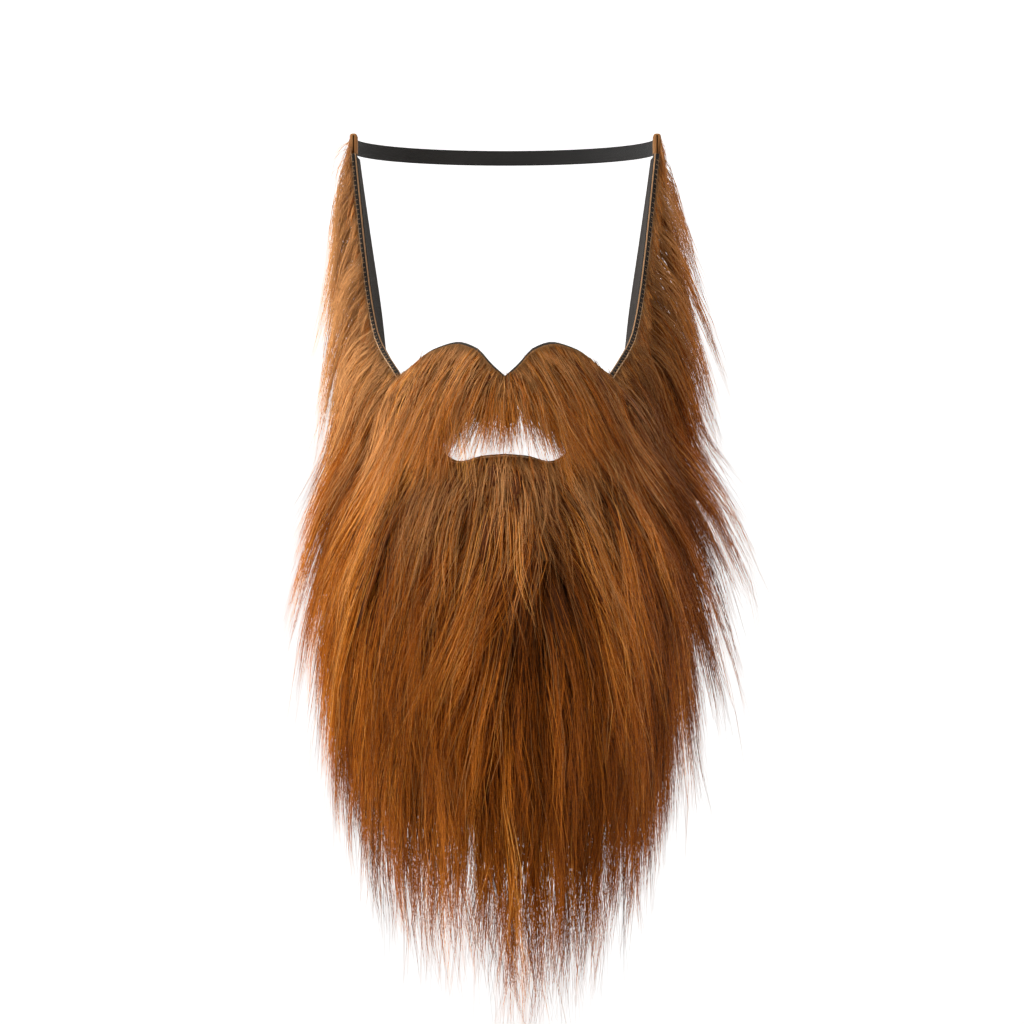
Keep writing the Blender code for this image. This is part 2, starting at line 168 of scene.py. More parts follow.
class SmoothCurve:
    """A smooth curve through points, which never overshoots them."""

    def __init__(self, xs: Array, ys: Array) -> None:
        """Works out the slope at each point."""
        self.xs, self.ys = np.asarray(xs, float), np.asarray(ys, float)
        slopes = np.diff(self.ys) / np.diff(self.xs)
        before, after = slopes[:-1], slopes[1:]
        total = before + after
        same = before * after > 0
        middle = np.where(same, 2 * before * after / np.where(total == 0, 1.0, total), 0.0)
        self.tangents = np.concatenate([slopes[:1], middle, slopes[-1:]])

    def __call__(self, x: float | Array) -> Array:
        """The curve's value at x, held level past both ends."""
        x = np.asarray(x, float)
        i = np.clip(np.searchsorted(self.xs, x) - 1, 0, len(self.xs) - 2)
        width = self.xs[i + 1] - self.xs[i]
        t = np.clip((x - self.xs[i]) / width, 0.0, 1.0)
        return (
            self.ys[i] * (1 + 2 * t) * (1 - t) ** 2
            + self.ys[i + 1] * t * t * (3 - 2 * t)
            + width * t * (1 - t) * (self.tangents[i] * (1 - t) - self.tangents[i + 1] * t)
        )


class WornForm:
    """The wearer's side of the lining, and layers at an offset from it."""

    def __init__(self) -> None:
        """Reads the form's table."""
        heights = height_of(column(FORM, "level"))
        self.half_width = SmoothCurve(heights, column(FORM, "half_width") * SIZES.breadth / 2)
        self.front = SmoothCurve(heights, column(FORM, "front") * SIZES.front_depth)
        self.side_plane = float(self.front(0.0))

    def point(self, angle: Array, height: Array) -> Array:
        """Points of the form. Angles are in degrees round from the front."""
        turn = np.radians(angle)
        return np.stack(
            [
                self.half_width(height) * np.sin(turn),
                self.side_plane - self.front(height) * np.cos(turn),
                height + 0 * turn,
            ],
            axis=-1,
        )

    def frame(self, angle: Array, height: Array) -> tuple[Array, Array]:
        """Unit vectors across the form and out of it."""
        across = self.point(angle + 0.5, height) - self.point(angle - 0.5, height)
        up = self.point(angle, height + 0.001) - self.point(angle, height - 0.001)
        outward = np.cross(across, up)
        across /= np.linalg.norm(across, axis=-1, keepdims=True)
        outward /= np.linalg.norm(outward, axis=-1, keepdims=True)
        return across, outward

    def layer(self, angle: Array, height: Array, offset: Array | float) -> Array:
        """Points that lie this far outside the form."""
        angle, height, offset = np.broadcast_arrays(angle, height, offset)
        _, outward = self.frame(angle, height)
        return self.point(angle, height) + outward * offset[..., None]

    def degrees(self, length: Array | float, height: Array | float) -> Array:
        """How many degrees round the form a length takes at this height."""
        return np.degrees(length / self.half_width(height))


WORN = WornForm()


class BeardCut:
    """The cut of the beard panel: its two edges from the right strap end, round the chin, to the left one."""

    def __init__(self) -> None:
        """Reads the panel's table."""
        share = column(PANEL, "share")
        self.curves = [
            SmoothCurve(share, values)
            for values in (
                column(PANEL, "inner_angle"),
                height_of(column(PANEL, "inner_level")),
                column(PANEL, "outer_angle"),
                height_of(column(PANEL, "outer_level")),
            )
        ]

    def edges(self, along: Array) -> tuple[Array, Array, Array, Array]:
        """The inner edge's angle and height, then the outer edge's, at -1 to 1 along the panel."""
        share, side = 1.0 - np.abs(along), np.sign(along)
        inner_angle, inner_height, outer_angle, outer_height = (curve(share) for curve in self.curves)
        return side * inner_angle, inner_height, side * outer_angle, outer_height

    def outline(self, steps: int = 160) -> Array:
        """The panel's outline as (angle, height) points, inner edge first."""
        along = np.linspace(-1, 1, steps)
        inner_angle, inner_height, outer_angle, outer_height = self.edges(along)
        inner = np.stack([inner_angle, inner_height], axis=-1)
        outer = np.stack([outer_angle, outer_height], axis=-1)[::-1]
        return np.concatenate([inner, outer])

    def grid(self, offset: float, columns: int, rows: int, margin: float = 0.0) -> Array:
        """The panel's points at an offset from the form, as rows of columns, grown at its inner edge."""
        along = np.linspace(-1, 1, columns + 1)[None, :]
        v = np.linspace(0, 1, rows + 1)[:, None]
        inner_angle, inner_height, outer_angle, outer_height = self.edges(along)
        span = np.hypot(
            (outer_angle - inner_angle) / WORN.degrees(1.0, inner_height),
            outer_height - inner_height,
        )
        v = v - margin / span * (1 - v) ** 4
        return WORN.layer(
            inner_angle + (outer_angle - inner_angle) * v,
            inner_height + (outer_height - inner_height) * v,
            offset,
        )


class MoustacheCut:
    """The cut of the moustache panel."""

    def __init__(self) -> None:
        """Reads the moustache's table."""
        share = column(MOUSTACHE, "share")
        self.top = SmoothCurve(share, height_of(column(MOUSTACHE, "top_level")))
        self.bottom = SmoothCurve(share, height_of(column(MOUSTACHE, "bottom_level")))

    def base(self, angle: Array) -> Array:
        """How far its inner face lies outside the form: on the lip, then over the beard panel's ends."""
        start, end = MOUSTACHE_RISE_ANGLES
        return (GROUND_OUTER + CLEARANCE) * np.clip((np.abs(angle) - start) / (end - start), 0.0, 1.0)

    def ground(self, angle: Array, raised: float = 0.0) -> Array:
        """How far its ground cloth's outer side lies outside the form, or a place raised over it."""
        return self.base(angle) + MOUSTACHE_LINING_THICKNESS + CLEARANCE + GROUND_THICKNESS + raised

    def grid(self, offset: float, columns: int, rows: int, margin: float = 0.0) -> Array:
        """The moustache's points at an offset from its inner face, as rows of columns."""
        along = np.linspace(-1, 1, columns + 1)[None, :]
        v = np.linspace(0, 1, rows + 1)[:, None]
        top, bottom = self.top(np.abs(along)), self.bottom(np.abs(along))
        angle = along * MOUSTACHE_HALF_ANGLE + 0 * v
        height = top + margin * (1 - v) ** 4 + (bottom - top) * v
        return WORN.layer(angle, height, self.base(angle) + offset)


BEARD_CUT = BeardCut()
MOUSTACHE_CUT = MoustacheCut()


def inside(outline: Array, angle: Array, height: Array) -> Array:
    """Whether each (angle, height) lies inside a closed outline."""
    found = np.zeros(len(angle), bool)
    x0, y0 = outline[:, 0], outline[:, 1]
    x1, y1 = np.roll(x0, -1), np.roll(y0, -1)
    for a, b, c, d in zip(x0, y0, x1, y1):
        crosses = (b > height) != (d > height)
        where = (c - a) * (height - b) / ((d - b) or 1e-9) + a
        found ^= crosses & (angle < where)
    return found


def edge_distance(line: Array, angle: Array, height: Array) -> Array:
    """How far each (angle, height) lies from a line of such points, in metres over the form."""
    scale = 1.0 / WORN.degrees(1.0, height)
    best = np.full(len(angle), 1e9)
    for a, b in line:
        best = np.minimum(best, np.hypot((angle - a) * scale, height - b))
    return best


# Finishes


class Wiring:
    """Adds nodes to a tree and links them."""

    def __init__(self, tree: bpy.types.NodeTree) -> None:
        """Keeps the tree."""
        self.tree = tree

    def link(self, source: bpy.types.NodeSocket, target: bpy.types.NodeSocket) -> None:
        """Links two sockets."""
        self.tree.links.new(source, target)

    def node(self, kind: str, inputs: dict | None = None, **settings: object) -> bpy.types.Node:
        """Adds a node. Inputs map a socket's name or number to a socket or a value."""
        made = self.tree.nodes.new(kind)
        for key, value in settings.items():
            setattr(made, key, value)
        for key, value in (inputs or {}).items():
            if isinstance(value, bpy.types.NodeSocket):
                self.link(value, made.inputs[key])
            else:
                made.inputs[key].default_value = value
        return made

    def math(self, operation: str, a: object, b: object = 0.0) -> bpy.types.NodeSocket:
        """Adds a Math node over sockets or numbers."""
        return self.node("ShaderNodeMath", {0: a, 1: b}, operation=operation).outputs[0]

    def times(self, a: object, b: object) -> bpy.types.NodeSocket:
        """Adds a product."""
        return self.math("MULTIPLY", a, b)

    def plus(self, a: object, b: object) -> bpy.types.NodeSocket:
        """Adds a sum."""
        return self.math("ADD", a, b)


class Shade(Wiring):
    """A small helper that builds one material's nodes."""

    def __init__(self, name: str, slot_roughness: float, specular: float = 0.4) -> None:
        """Starts a material with a Principled shader."""
        self.material = bpy.data.materials.new(name)
        self.material.use_nodes = True
        super().__init__(self.material.node_tree)
        self.shader = self.tree.nodes["Principled BSDF"]
        self.shader.inputs["Roughness"].default_value = slot_roughness
        self.shader.inputs["Specular IOR Level"].default_value = specular

    def own_map(self, name: str) -> tuple[bpy.types.Node, bpy.types.Node]:
        """Adds the piece's own map, and a node that splits it."""
        uv = self.node("ShaderNodeUVMap", uv_map=name)
        split = self.node("ShaderNodeSeparateXYZ")
        self.link(uv.outputs[0], split.inputs[0])
        return uv, split

    def ramp(
        self, factor: bpy.types.NodeSocket, stops: Sequence[tuple[float, tuple]]
    ) -> bpy.types.NodeSocket:
        """Adds a colour ramp with the given stops."""
        made = self.node("ShaderNodeValToRGB")
        band = made.color_ramp
        for position, colour in stops[2:]:
            band.elements.new(position)
        for element, (position, colour) in zip(band.elements, sorted(stops)):
            element.position = position
            element.color = (*colour, 1.0)
        self.link(factor, made.inputs[0])
        return made.outputs[0]

    def mix(self, kind: str, factor: object, a: object, b: object) -> bpy.types.NodeSocket:
        """Adds a colour Mix node. Each of a and b is a socket or a colour."""
        a, b = ((*value, 1.0) if isinstance(value, tuple) else value for value in (a, b))
        made = self.node("ShaderNodeMix", {0: factor, 6: a, 7: b}, data_type="RGBA", blend_type=kind)
        return made.outputs[2]

    def noise(self, vector: bpy.types.NodeSocket, scale: float, detail: float = 2.0) -> bpy.types.NodeSocket:
        """Adds a noise texture and gives its value."""
        inputs = {"Scale": scale, "Detail": detail, "Vector": vector}
        return self.node("ShaderNodeTexNoise", inputs).outputs["Fac"]

    def bump(self, height: bpy.types.NodeSocket, distance: float, strength: float = 1.0) -> None:
        """Gives the shader a bump from a height."""
        made = self.node("ShaderNodeBump", {"Distance": distance, "Strength": strength, "Height": height})
        self.link(made.outputs["Normal"], self.shader.inputs["Normal"])

    def colour(self, value: bpy.types.NodeSocket) -> None:
        """Sets the shader's base colour."""
        self.link(value, self.shader.inputs["Base Color"])


TONE_COLUMNS = 40
TAN_SHARE = 0.8


@dataclass(frozen=True)
class FibreFinish:
    """Synthetic fibre. Its map's u is the strand's tone, and v runs from root to tip."""

    roughness: float = 0.44
    specular: float = 0.38
    glint: tuple[float, float, float] = (1.0, 0.58, 0.28)
    root_dark: float = 0.34
    tip_light: float = 1.18

    def build(self, name: str) -> bpy.types.Material:
        """Makes the strands' material.

        Args:
            name: the material's name.

        Returns:
            The material.
        """
        shade = Shade(name, self.roughness, self.specular)
        shade.shader.inputs["Specular Tint"].default_value = (*self.glint, 1.0)
        _, split = shade.own_map("OFBake")
        tone = shade.ramp(
            split.outputs[0],
            (
                (0.00, (0.050, 0.011, 0.0010)),
                (0.20, (0.160, 0.036, 0.0022)),
                (0.42, (0.350, 0.086, 0.0055)),
                (0.62, (0.600, 0.190, 0.0190)),
                (0.795, (0.900, 0.410, 0.0950)),
                (0.805, (0.140, 0.045, 0.0090)),
                (1.00, (0.720, 0.345, 0.1250)),
            ),
        )
        # Darker towards the root is painted shade, where the strands crowd together at the ground; lighter
        # towards the tip.
        along = shade.ramp(
            split.outputs[1],
            (
                (0.0, (self.root_dark,) * 3),
                (0.28, (0.88,) * 3),
                (0.75, (1.0,) * 3),
                (1.0, (self.tip_light,) * 3),
            ),
        )
        shade.colour(shade.mix("MULTIPLY", 1.0, tone, along))
        return shade.material


@dataclass(frozen=True)
class ShadeCoreFinish:
    """The dense fibre inside a lock, seen only between its strands, in dark colours that paint the shade
    between them.
    """

    light: tuple[float, float, float] = (0.240, 0.066, 0.0070)
    middle: tuple[float, float, float] = (0.080, 0.020, 0.0020)
    dark: tuple[float, float, float] = (0.018, 0.004, 0.0005)
    fibres: float = 2600.0

    def build(self, name: str) -> bpy.types.Material:
        """Makes the material. Fine stripes run along the lock, by the map's u."""
        shade = Shade(name, 0.6, 0.15)
        uv = shade.node("ShaderNodeUVMap", uv_map="OFBake")
        stretch = shade.node("ShaderNodeMapping", {"Scale": (self.fibres, 6.0, 1.0), "Vector": uv.outputs[0]})
        stripes = shade.noise(stretch.outputs[0], 1.0, 2.0)
        shade.colour(
            shade.ramp(stripes, ((0.30, self.dark), (0.50, self.middle), (0.72, self.light)))
        )
        shade.bump(stripes, 0.0006, 0.9)
        return shade.material


@dataclass(frozen=True)
class KnitFinish:
    """A fine knit, with ribs across and a little fuzz."""

    base: tuple[float, float, float]
    light: tuple[float, float, float]
    pitch: float = 0.0011
    relief: float = 0.0003

    def build(self, name: str) -> bpy.types.Material:
        """Makes the knit from the cloth's own map, in metres."""
        shade = Shade(name, 0.85, 0.2)
        uv, split = shade.own_map("Cloth")
        turn = 2 * math.pi / self.pitch
        wales = shade.math("SINE", shade.times(split.outputs[0], turn))
        courses = shade.math("SINE", shade.times(split.outputs[1], turn * 1.3))
        loops = shade.times(shade.math("ABSOLUTE", wales), shade.math("ABSOLUTE", courses))
        fuzz = shade.noise(uv.outputs[0], 900.0, 3.0)
        height = shade.plus(loops, shade.times(fuzz, 0.6))
        patch = shade.noise(uv.outputs[0], 45.0, 2.0)
        mixed = shade.plus(shade.times(height, 0.45), shade.times(patch, 0.35))
        shade.colour(shade.mix("MIX", mixed, self.base, self.light))
        shade.bump(height, self.relief)
        return shade.material


@dataclass(frozen=True)
class HemFinish:
    """The hem: tan tape on the pile's side, a pale seam, and a near-black band on the inner side, partly the
    binding's dark cloth and partly painted shade between the hem and the face.

    Its map's u is the length along it, and v runs round it from 0 to 1, from the inner side.
    """

    tape: tuple[float, float, float] = (0.30, 0.15, 0.060)
    seam: tuple[float, float, float] = (0.68, 0.48, 0.30)
    # Near-black: partly the binding's dark cloth, partly painted shade where the hem meets the face.
    binding_and_shade: tuple[float, float, float] = (0.012, 0.009, 0.007)

    def build(self, name: str) -> bpy.types.Material:
        """Makes the material, with a fine weave over all of it."""
        shade = Shade(name, 0.8, 0.2)
        uv, split = shade.own_map("Cloth")
        turn = shade.math("PINGPONG", split.outputs[1], 0.5)
        banded = shade.ramp(
            turn,
            (
                (0.00, self.binding_and_shade),
                (0.200, self.binding_and_shade),
                (0.215, self.seam),
                (0.290, self.seam),
                (0.325, self.tape),
                (0.50, self.tape),
            ),
        )
        weave = shade.math("ABSOLUTE", shade.math("SINE", shade.times(split.outputs[0], 4200.0)))
        fuzz = shade.noise(uv.outputs[0], 700.0, 3.0)
        height = shade.plus(shade.times(weave, 0.6), fuzz)
        shade.colour(shade.mix("MULTIPLY", shade.times(fuzz, 0.7), banded, banded))
        shade.bump(height, 0.0002)
        return shade.material


@dataclass(frozen=True)
class ElasticFinish:
    """Braided elastic: fine ribs along the strap, with a slight herringbone."""

    base: tuple[float, float, float] = (0.006, 0.006, 0.007)
    light: tuple[float, float, float] = (0.030, 0.029, 0.028)
    pitch: float = 0.0009
    zigzag: float = 0.0008

    def build(self, name: str) -> bpy.types.Material:
        """Makes the material from the strap's own map, in metres."""
        shade = Shade(name, 0.70, 0.20)
        _, split = shade.own_map("Cloth")
        turn = 2 * math.pi / self.pitch
        along = shade.times(split.outputs[0], turn)
        across = shade.times(shade.math("PINGPONG", split.outputs[1], self.zigzag), turn)
        slant = shade.plus(along, across)
        braid = shade.math("ABSOLUTE", shade.math("SINE", slant))
        shade.colour(shade.mix("MIX", shade.times(braid, 0.7), self.base, self.light))
        shade.bump(braid, 0.00025)
        return shade.material


@dataclass(frozen=True)
class ThreadFinish:
    """Sewing thread with a twist."""

    base: tuple[float, float, float]
    light: tuple[float, float, float]

    def build(self, name: str) -> bpy.types.Material:
        """Makes the thread, varied over Object coordinates."""
        shade = Shade(name, 0.6, 0.35)
        coordinates = shade.node("ShaderNodeTexCoord")
        value = shade.noise(coordinates.outputs["Object"], 1400.0, 2.0)
        shade.colour(shade.mix("MIX", value, self.base, self.light))
        shade.bump(value, 0.0002)
        return shade.material


@dataclass(frozen=True)
class StageFinish:
    """Plain pale studio paper, which glows away from the beard, so that the background is nearly white."""

    colour: tuple[float, float, float] = (0.86, 0.86, 0.87)
    glow: float = 0.62
    ground_glow: float = 0.22
    near: float = 2.4
    far: float = 4.2

    def build(self, name: str) -> bpy.types.Material:
        """Makes the paper, from Object coordinates."""
        shade = Shade(name, 0.9, 0.1)
        coordinates = shade.node("ShaderNodeTexCoord").outputs["Object"]
        grain = shade.noise(coordinates, 6.0, 2.0)
        light = tuple(min(c * 1.02, 1.0) for c in self.colour)
        shade.colour(shade.mix("MIX", grain, self.colour, light))
        away = shade.node("ShaderNodeVectorMath", {0: coordinates}, operation="LENGTH").outputs["Value"]
        reach = {"From Min": self.near, "From Max": self.far}
        glow = {"To Min": self.ground_glow, "To Max": self.glow}
        share = shade.node("ShaderNodeMapRange", {**reach, **glow, "Value": away})
        shade.shader.inputs["Emission Color"].default_value = (1.0, 1.0, 1.0, 1.0)
        shade.link(share.outputs["Result"], shade.shader.inputs["Emission Strength"])
        return shade.material


# Meshes


def placed(name: str, data: bpy.types.ID) -> bpy.types.Object:
    """Puts an object with this data in the scene, at the origin."""
    made = bpy.data.objects.new(name, data)
    bpy.context.scene.collection.objects.link(made)
    return made


def mesh_piece(
    name: str, points: Array, faces: Array | list, material: bpy.types.Material
) -> bpy.types.Object:
    """Puts a mesh in the scene as a smooth piece with one material.

    Args:
        name: the piece's name.
        points: its points, one row each.
        faces: its faces, as rows of point numbers.
        material: its finish.

    Returns:
        The piece.
    """
    mesh = bpy.data.meshes.new(name)
    rows = faces.tolist() if isinstance(faces, np.ndarray) else faces
    mesh.from_pydata(np.asarray(points).reshape(-1, 3).tolist(), [], rows)
    mesh.shade_smooth()
    mesh.materials.append(material)
    return placed(name, mesh)


def tube_piece(name: str, rings: Array, material: bpy.types.Material) -> bpy.types.Object:
    """A closed tube through rings of points, with a cap at each end."""
    index = np.arange(rings.shape[0] * rings.shape[1]).reshape(rings.shape[:2])
    after = np.roll(index, -1, axis=1)
    walls = np.stack([index[:-1], after[:-1], after[1:], index[1:]], axis=-1).reshape(-1, 4).tolist()
    return mesh_piece(name, rings, walls + [index[0][::-1].tolist(), index[-1].tolist()], material)


def line_piece(name: str, lines: Array) -> bpy.types.Object:
    """A piece of bare lines, each a row of points, for a tree to sweep."""
    count, rings = lines.shape[:2]
    start = (np.arange(count)[:, None] * rings + np.arange(rings - 1)[None, :]).ravel()
    mesh = bpy.data.meshes.new(name + "_lines")
    mesh.from_pydata(lines.reshape(-1, 3).tolist(), np.stack([start, start + 1], axis=-1).tolist(), [])
    return placed(name, mesh)


def run_along(points: Array, axis: int = 0) -> Array:
    """How far along its line each point lies, in metres."""
    steps = np.linalg.norm(np.diff(points, axis=axis), axis=-1)
    return np.concatenate([np.zeros_like(steps.take([0], axis)), np.cumsum(steps, axis=axis)], axis=axis)


def corner_map(piece: bpy.types.Object, name: str, values: Array) -> None:
    """Gives a mesh a UV map from one value per point."""
    mesh = piece.data
    corners = np.empty(len(mesh.loops), np.int32)
    mesh.loops.foreach_get("vertex_index", corners)
    layer = mesh.uv_layers.new(name=name)
    layer.data.foreach_set("uv", np.asarray(values, np.float32)[corners].ravel())


def sheet_piece(name: str, inner: Array, outer: Array, material: bpy.types.Material) -> bpy.types.Object:
    """A closed sheet of cloth between two grids of points, with a map in metres over it."""
    rows, columns = inner.shape[:2]
    index = np.arange(rows * columns).reshape(rows, columns)
    corners = (index[:-1, :-1], index[:-1, 1:], index[1:, 1:], index[1:, :-1])
    quads = np.stack(corners, axis=-1).reshape(-1, 4)
    under = quads + rows * columns
    rim = np.concatenate([index[0, :-1], index[:-1, -1], index[-1, :0:-1], index[:0:-1, 0]])
    after = np.roll(rim, -1)
    wall = np.stack([after, rim, rim + rows * columns, after + rows * columns], axis=-1)
    faces = np.concatenate([quads, under[:, ::-1], wall])
    piece = mesh_piece(name, np.concatenate([outer.reshape(-1, 3), inner.reshape(-1, 3)]), faces, material)
    middle = columns // 2
    across = run_along(outer, axis=1)
    across -= across[:, middle : middle + 1]
    down = run_along(outer)
    values = np.stack([across, down], axis=-1).reshape(-1, 2)
    corner_map(piece, "Cloth", np.concatenate([values, values]))
    return piece


def turn_outwards(piece: bpy.types.Object) -> None:
    """Flips a closed mesh whose faces point inwards."""
    mesh = piece.data
    points = np.empty(len(mesh.vertices) * 3)
    mesh.vertices.foreach_get("co", points)
    points = points.reshape(-1, 3)
    volume = 0.0
    for face in mesh.polygons:
        corner = points[list(face.vertices)]
        for k in range(1, len(corner) - 1):
            volume += float(np.dot(corner[0], np.cross(corner[k], corner[k + 1])))
    if volume < 0:
        mesh.flip_normals()


# Groom


class Lie(NamedTuple):
    """How the pile lies at a level: degrees swept outwards at the sides, length and lift as shares."""

    level: float
    sweep: float
    length: float
    lift: float


class Parting(NamedTuple):
    """A parting that runs down the pile, where the locks lie flatter and are painted darker as shade. Angle
    in degrees, levels of its ends, its reach in metres.
    """

    angle: float
    top: float
    bottom: float
    reach: float
    depth: float


class Swirl(NamedTuple):
    """A place where the locks lean together. Its angle and height, its reach across and down, and the lean.

    The lean is in degrees from straight down at the root, positive towards the wearer's left.
    """

    angle: float
    height: float
    across: float
    down: float
    lean: float


LIES = (
    Lie(-1.00, -3.0, 1.06, 0.72),
    Lie(-0.50, 0.0, 1.04, 0.68),
    Lie(0.00, 6.0, 1.06, 0.90),
    Lie(1.50, 12.0, 1.08, 1.42),
    Lie(2.40, 10.0, 1.02, 1.32),
    Lie(2.80, 7.0, 0.90, 1.12),
    Lie(3.00, 5.0, 0.74, 0.80),
)
SWIRLS = (
    Swirl(-9.0, -0.032, 0.020, 0.022, -27.0),
    Swirl(7.0, -0.050, 0.014, 0.026, -12.0),
    Swirl(22.0, -0.030, 0.018, 0.026, 15.0),
    Swirl(-30.0, -0.020, 0.016, 0.030, 7.0),
    Swirl(-40.0, -0.062, 0.020, 0.030, -7.0),
    Swirl(36.0, -0.075, 0.022, 0.030, 7.0),
    Swirl(4.0, -0.105, 0.020, 0.030, 8.0),
    Swirl(-18.0, -0.112, 0.018, 0.030, 6.0),
    Swirl(60.0, 0.020, 0.020, 0.030, 8.0),
    Swirl(-62.0, 0.010, 0.020, 0.034, -8.0),
)
PARTINGS = (
    Parting(-66.0, 2.00, -0.30, 0.010, 0.80),
    Parting(70.0, 2.20, -0.25, 0.010, 0.75),
    Parting(-58.0, -0.25, -0.85, 0.010, 0.70),
    Parting(14.0, 0.10, -0.30, 0.007, 0.45),
    Parting(-30.0, -0.10, -0.60, 0.008, 0.45),
    Parting(48.0, 0.30, -0.45, 0.007, 0.40),
    Parting(-2.0, -0.75, -1.00, 0.006, 0.60),
)


@dataclass
class Guides:
    """The guide of every lock in a groom. Arrays hold a row for each lock, and a column for each ring."""

    points: Array
    across: Array
    outward: Array
    width: Array | float
    tone: Array
    tan: Array | float
    fill: Array | float = 1.0

    def __post_init__(self) -> None:
        """Gives every lock a value of its own where one value stands for all."""
        for name in ("width", "tan", "fill"):
            setattr(self, name, np.broadcast_to(getattr(self, name), len(self.points)))

    def pick(self, chosen: Array) -> "Guides":
        """The guides that a mask chooses."""
        return Guides(*(getattr(self, name)[chosen] for name in self.__dataclass_fields__))


class Ripple:
    """A smooth random field over the pile, long down the strands and narrow across them, from -1 to 1."""

    def __init__(self, chance: np.random.Generator, across: float, down: float, waves: int = 14) -> None:
        """Draws its waves. The sizes are the spacing of its ridges, in metres."""
        self.across = 2 * math.pi / across * chance.uniform(0.55, 1.45, waves) * chance.choice([-1, 1], waves)
        self.down = 2 * math.pi / down * chance.normal(0, 1.0, waves)
        self.phase = chance.uniform(0, 2 * math.pi, waves)
        self.scale = 1.0 / math.sqrt(waves / 2) / 1.6

    def __call__(self, angle: Array, height: Array) -> Array:
        """The field's value at each angle and height."""
        x = np.radians(angle) * SIZES.breadth / 2
        total = np.cos(x[:, None] * self.across + height[:, None] * self.down + self.phase).sum(axis=1)
        return np.clip(total * self.scale, -1, 1)


def low_discrepancy(count: int) -> tuple[Array, Array]:
    """Points that fill a unit square evenly."""
    k = np.arange(1, count + 1)
    return (0.5 + k * 0.7548776662466927) % 1.0, (0.5 + k * 0.5698402909980532) % 1.0


@dataclass
class Comb:
    """Works out where each lock's guide runs."""

    rings: int = 12
    ground: float = GROUND_OUTER - 0.0006
    steepness: float = 0.36
    settle: float = 0.160
    first_rise: float = 0.0030
    wave: float = 0.0022

    def run(
        self,
        angle: Array,
        height: Array,
        length: Array,
        sweep: Array,
        drift: Array,
        lift: Array,
        base: Array | float,
        chance: np.random.Generator,
    ) -> tuple[Array, Array, Array]:
        """Runs guides down the form from their roots.

        Args:
            angle: degrees round the form of each root.
            height: the height of each root.
            length: the length of each guide.
            sweep: degrees from straight down at the root, positive away from the middle.
            drift: the same at the tip.
            lift: how steeply each guide stands out, as a share of the comb's steepness.
            base: how far outside the form each root lies.
            chance: the random numbers.

        Returns:
            The guides' points, and unit vectors across the form and out of it at each.
        """
        t = np.linspace(0, 1, self.rings)[None, :]
        side = np.where(angle < 0, -1.0, 1.0)[:, None]
        lean = np.radians(sweep[:, None] * (1 - t) + drift[:, None] * t)
        step = length[:, None] / (self.rings - 1)
        down = np.cumsum(np.cos(lean) * step, axis=1)
        down -= down[:, :1]
        across = np.cumsum(np.sin(lean) * step, axis=1)
        across -= across[:, :1]
        travelled = t * length[:, None]
        waves = chance.uniform(0.045, 0.085, (len(angle), 1))
        phase = chance.uniform(0, 2 * math.pi, (len(angle), 1))
        grow = self.wave * (0.25 + t) * chance.uniform(0.4, 1.4, (len(angle), 1))
        across = across * side + grow * np.sin(2 * math.pi * travelled / waves + phase)
        ring_height = height[:, None] - down
        ring_angle = angle[:, None] + WORN.degrees(across, height[:, None])
        rise = self.first_rise * (1 - np.exp(-travelled / 0.006)) * (0.5 + lift[:, None])
        sway = 0.5 * grow * np.sin(2 * math.pi * travelled / waves + phase * 1.7)
        climb = self.settle * (1 - np.exp(-travelled / self.settle))
        base = np.broadcast_to(base, len(angle))[:, None]
        offset = base + rise + self.steepness * lift[:, None] * climb + np.abs(sway)
        frame_across, outward = WORN.frame(ring_angle, ring_height)
        points = WORN.point(ring_angle, ring_height) + outward * offset[..., None]
        return points, frame_across, outward


def parted(angle: Array, height: Array) -> tuple[Array, Array]:
    """How much the partings press the pile down at each root, and which way they push it, in degrees."""
    press, push = np.zeros(len(angle)), np.zeros(len(angle))
    for row in PARTINGS:
        top, bottom = height_of(row.top), height_of(row.bottom)
        centre = (top + bottom) / 2
        run = 1 - np.clip(np.abs(height - centre) / ((top - bottom) / 2 + 0.01), 0, 1) ** 4
        away = (angle - row.angle) / WORN.degrees(1.0, height)
        near = np.exp(-((away / row.reach) ** 2)) * run * row.depth
        press = np.maximum(press, near)
        push += np.sign(away) * near * 7.0
    return press, push


def swirled(angle: Array, height: Array) -> Array:
    """How far the swirls lean the pile at each root, in degrees towards the wearer's left."""
    lean = np.zeros(len(angle))
    for row in SWIRLS:
        away = (angle - row.angle) / WORN.degrees(1.0, height) / row.across
        below = (height - row.height) / row.down
        lean += row.lean * np.exp(-(away**2) - below**2)
    return lean


def tones(chance: np.random.Generator, middle: float, spread: float, count: int) -> Array:
    """A tone for each lock, spread about the middle one."""
    return np.clip(chance.normal(middle, spread, count), 0.05, 0.95)


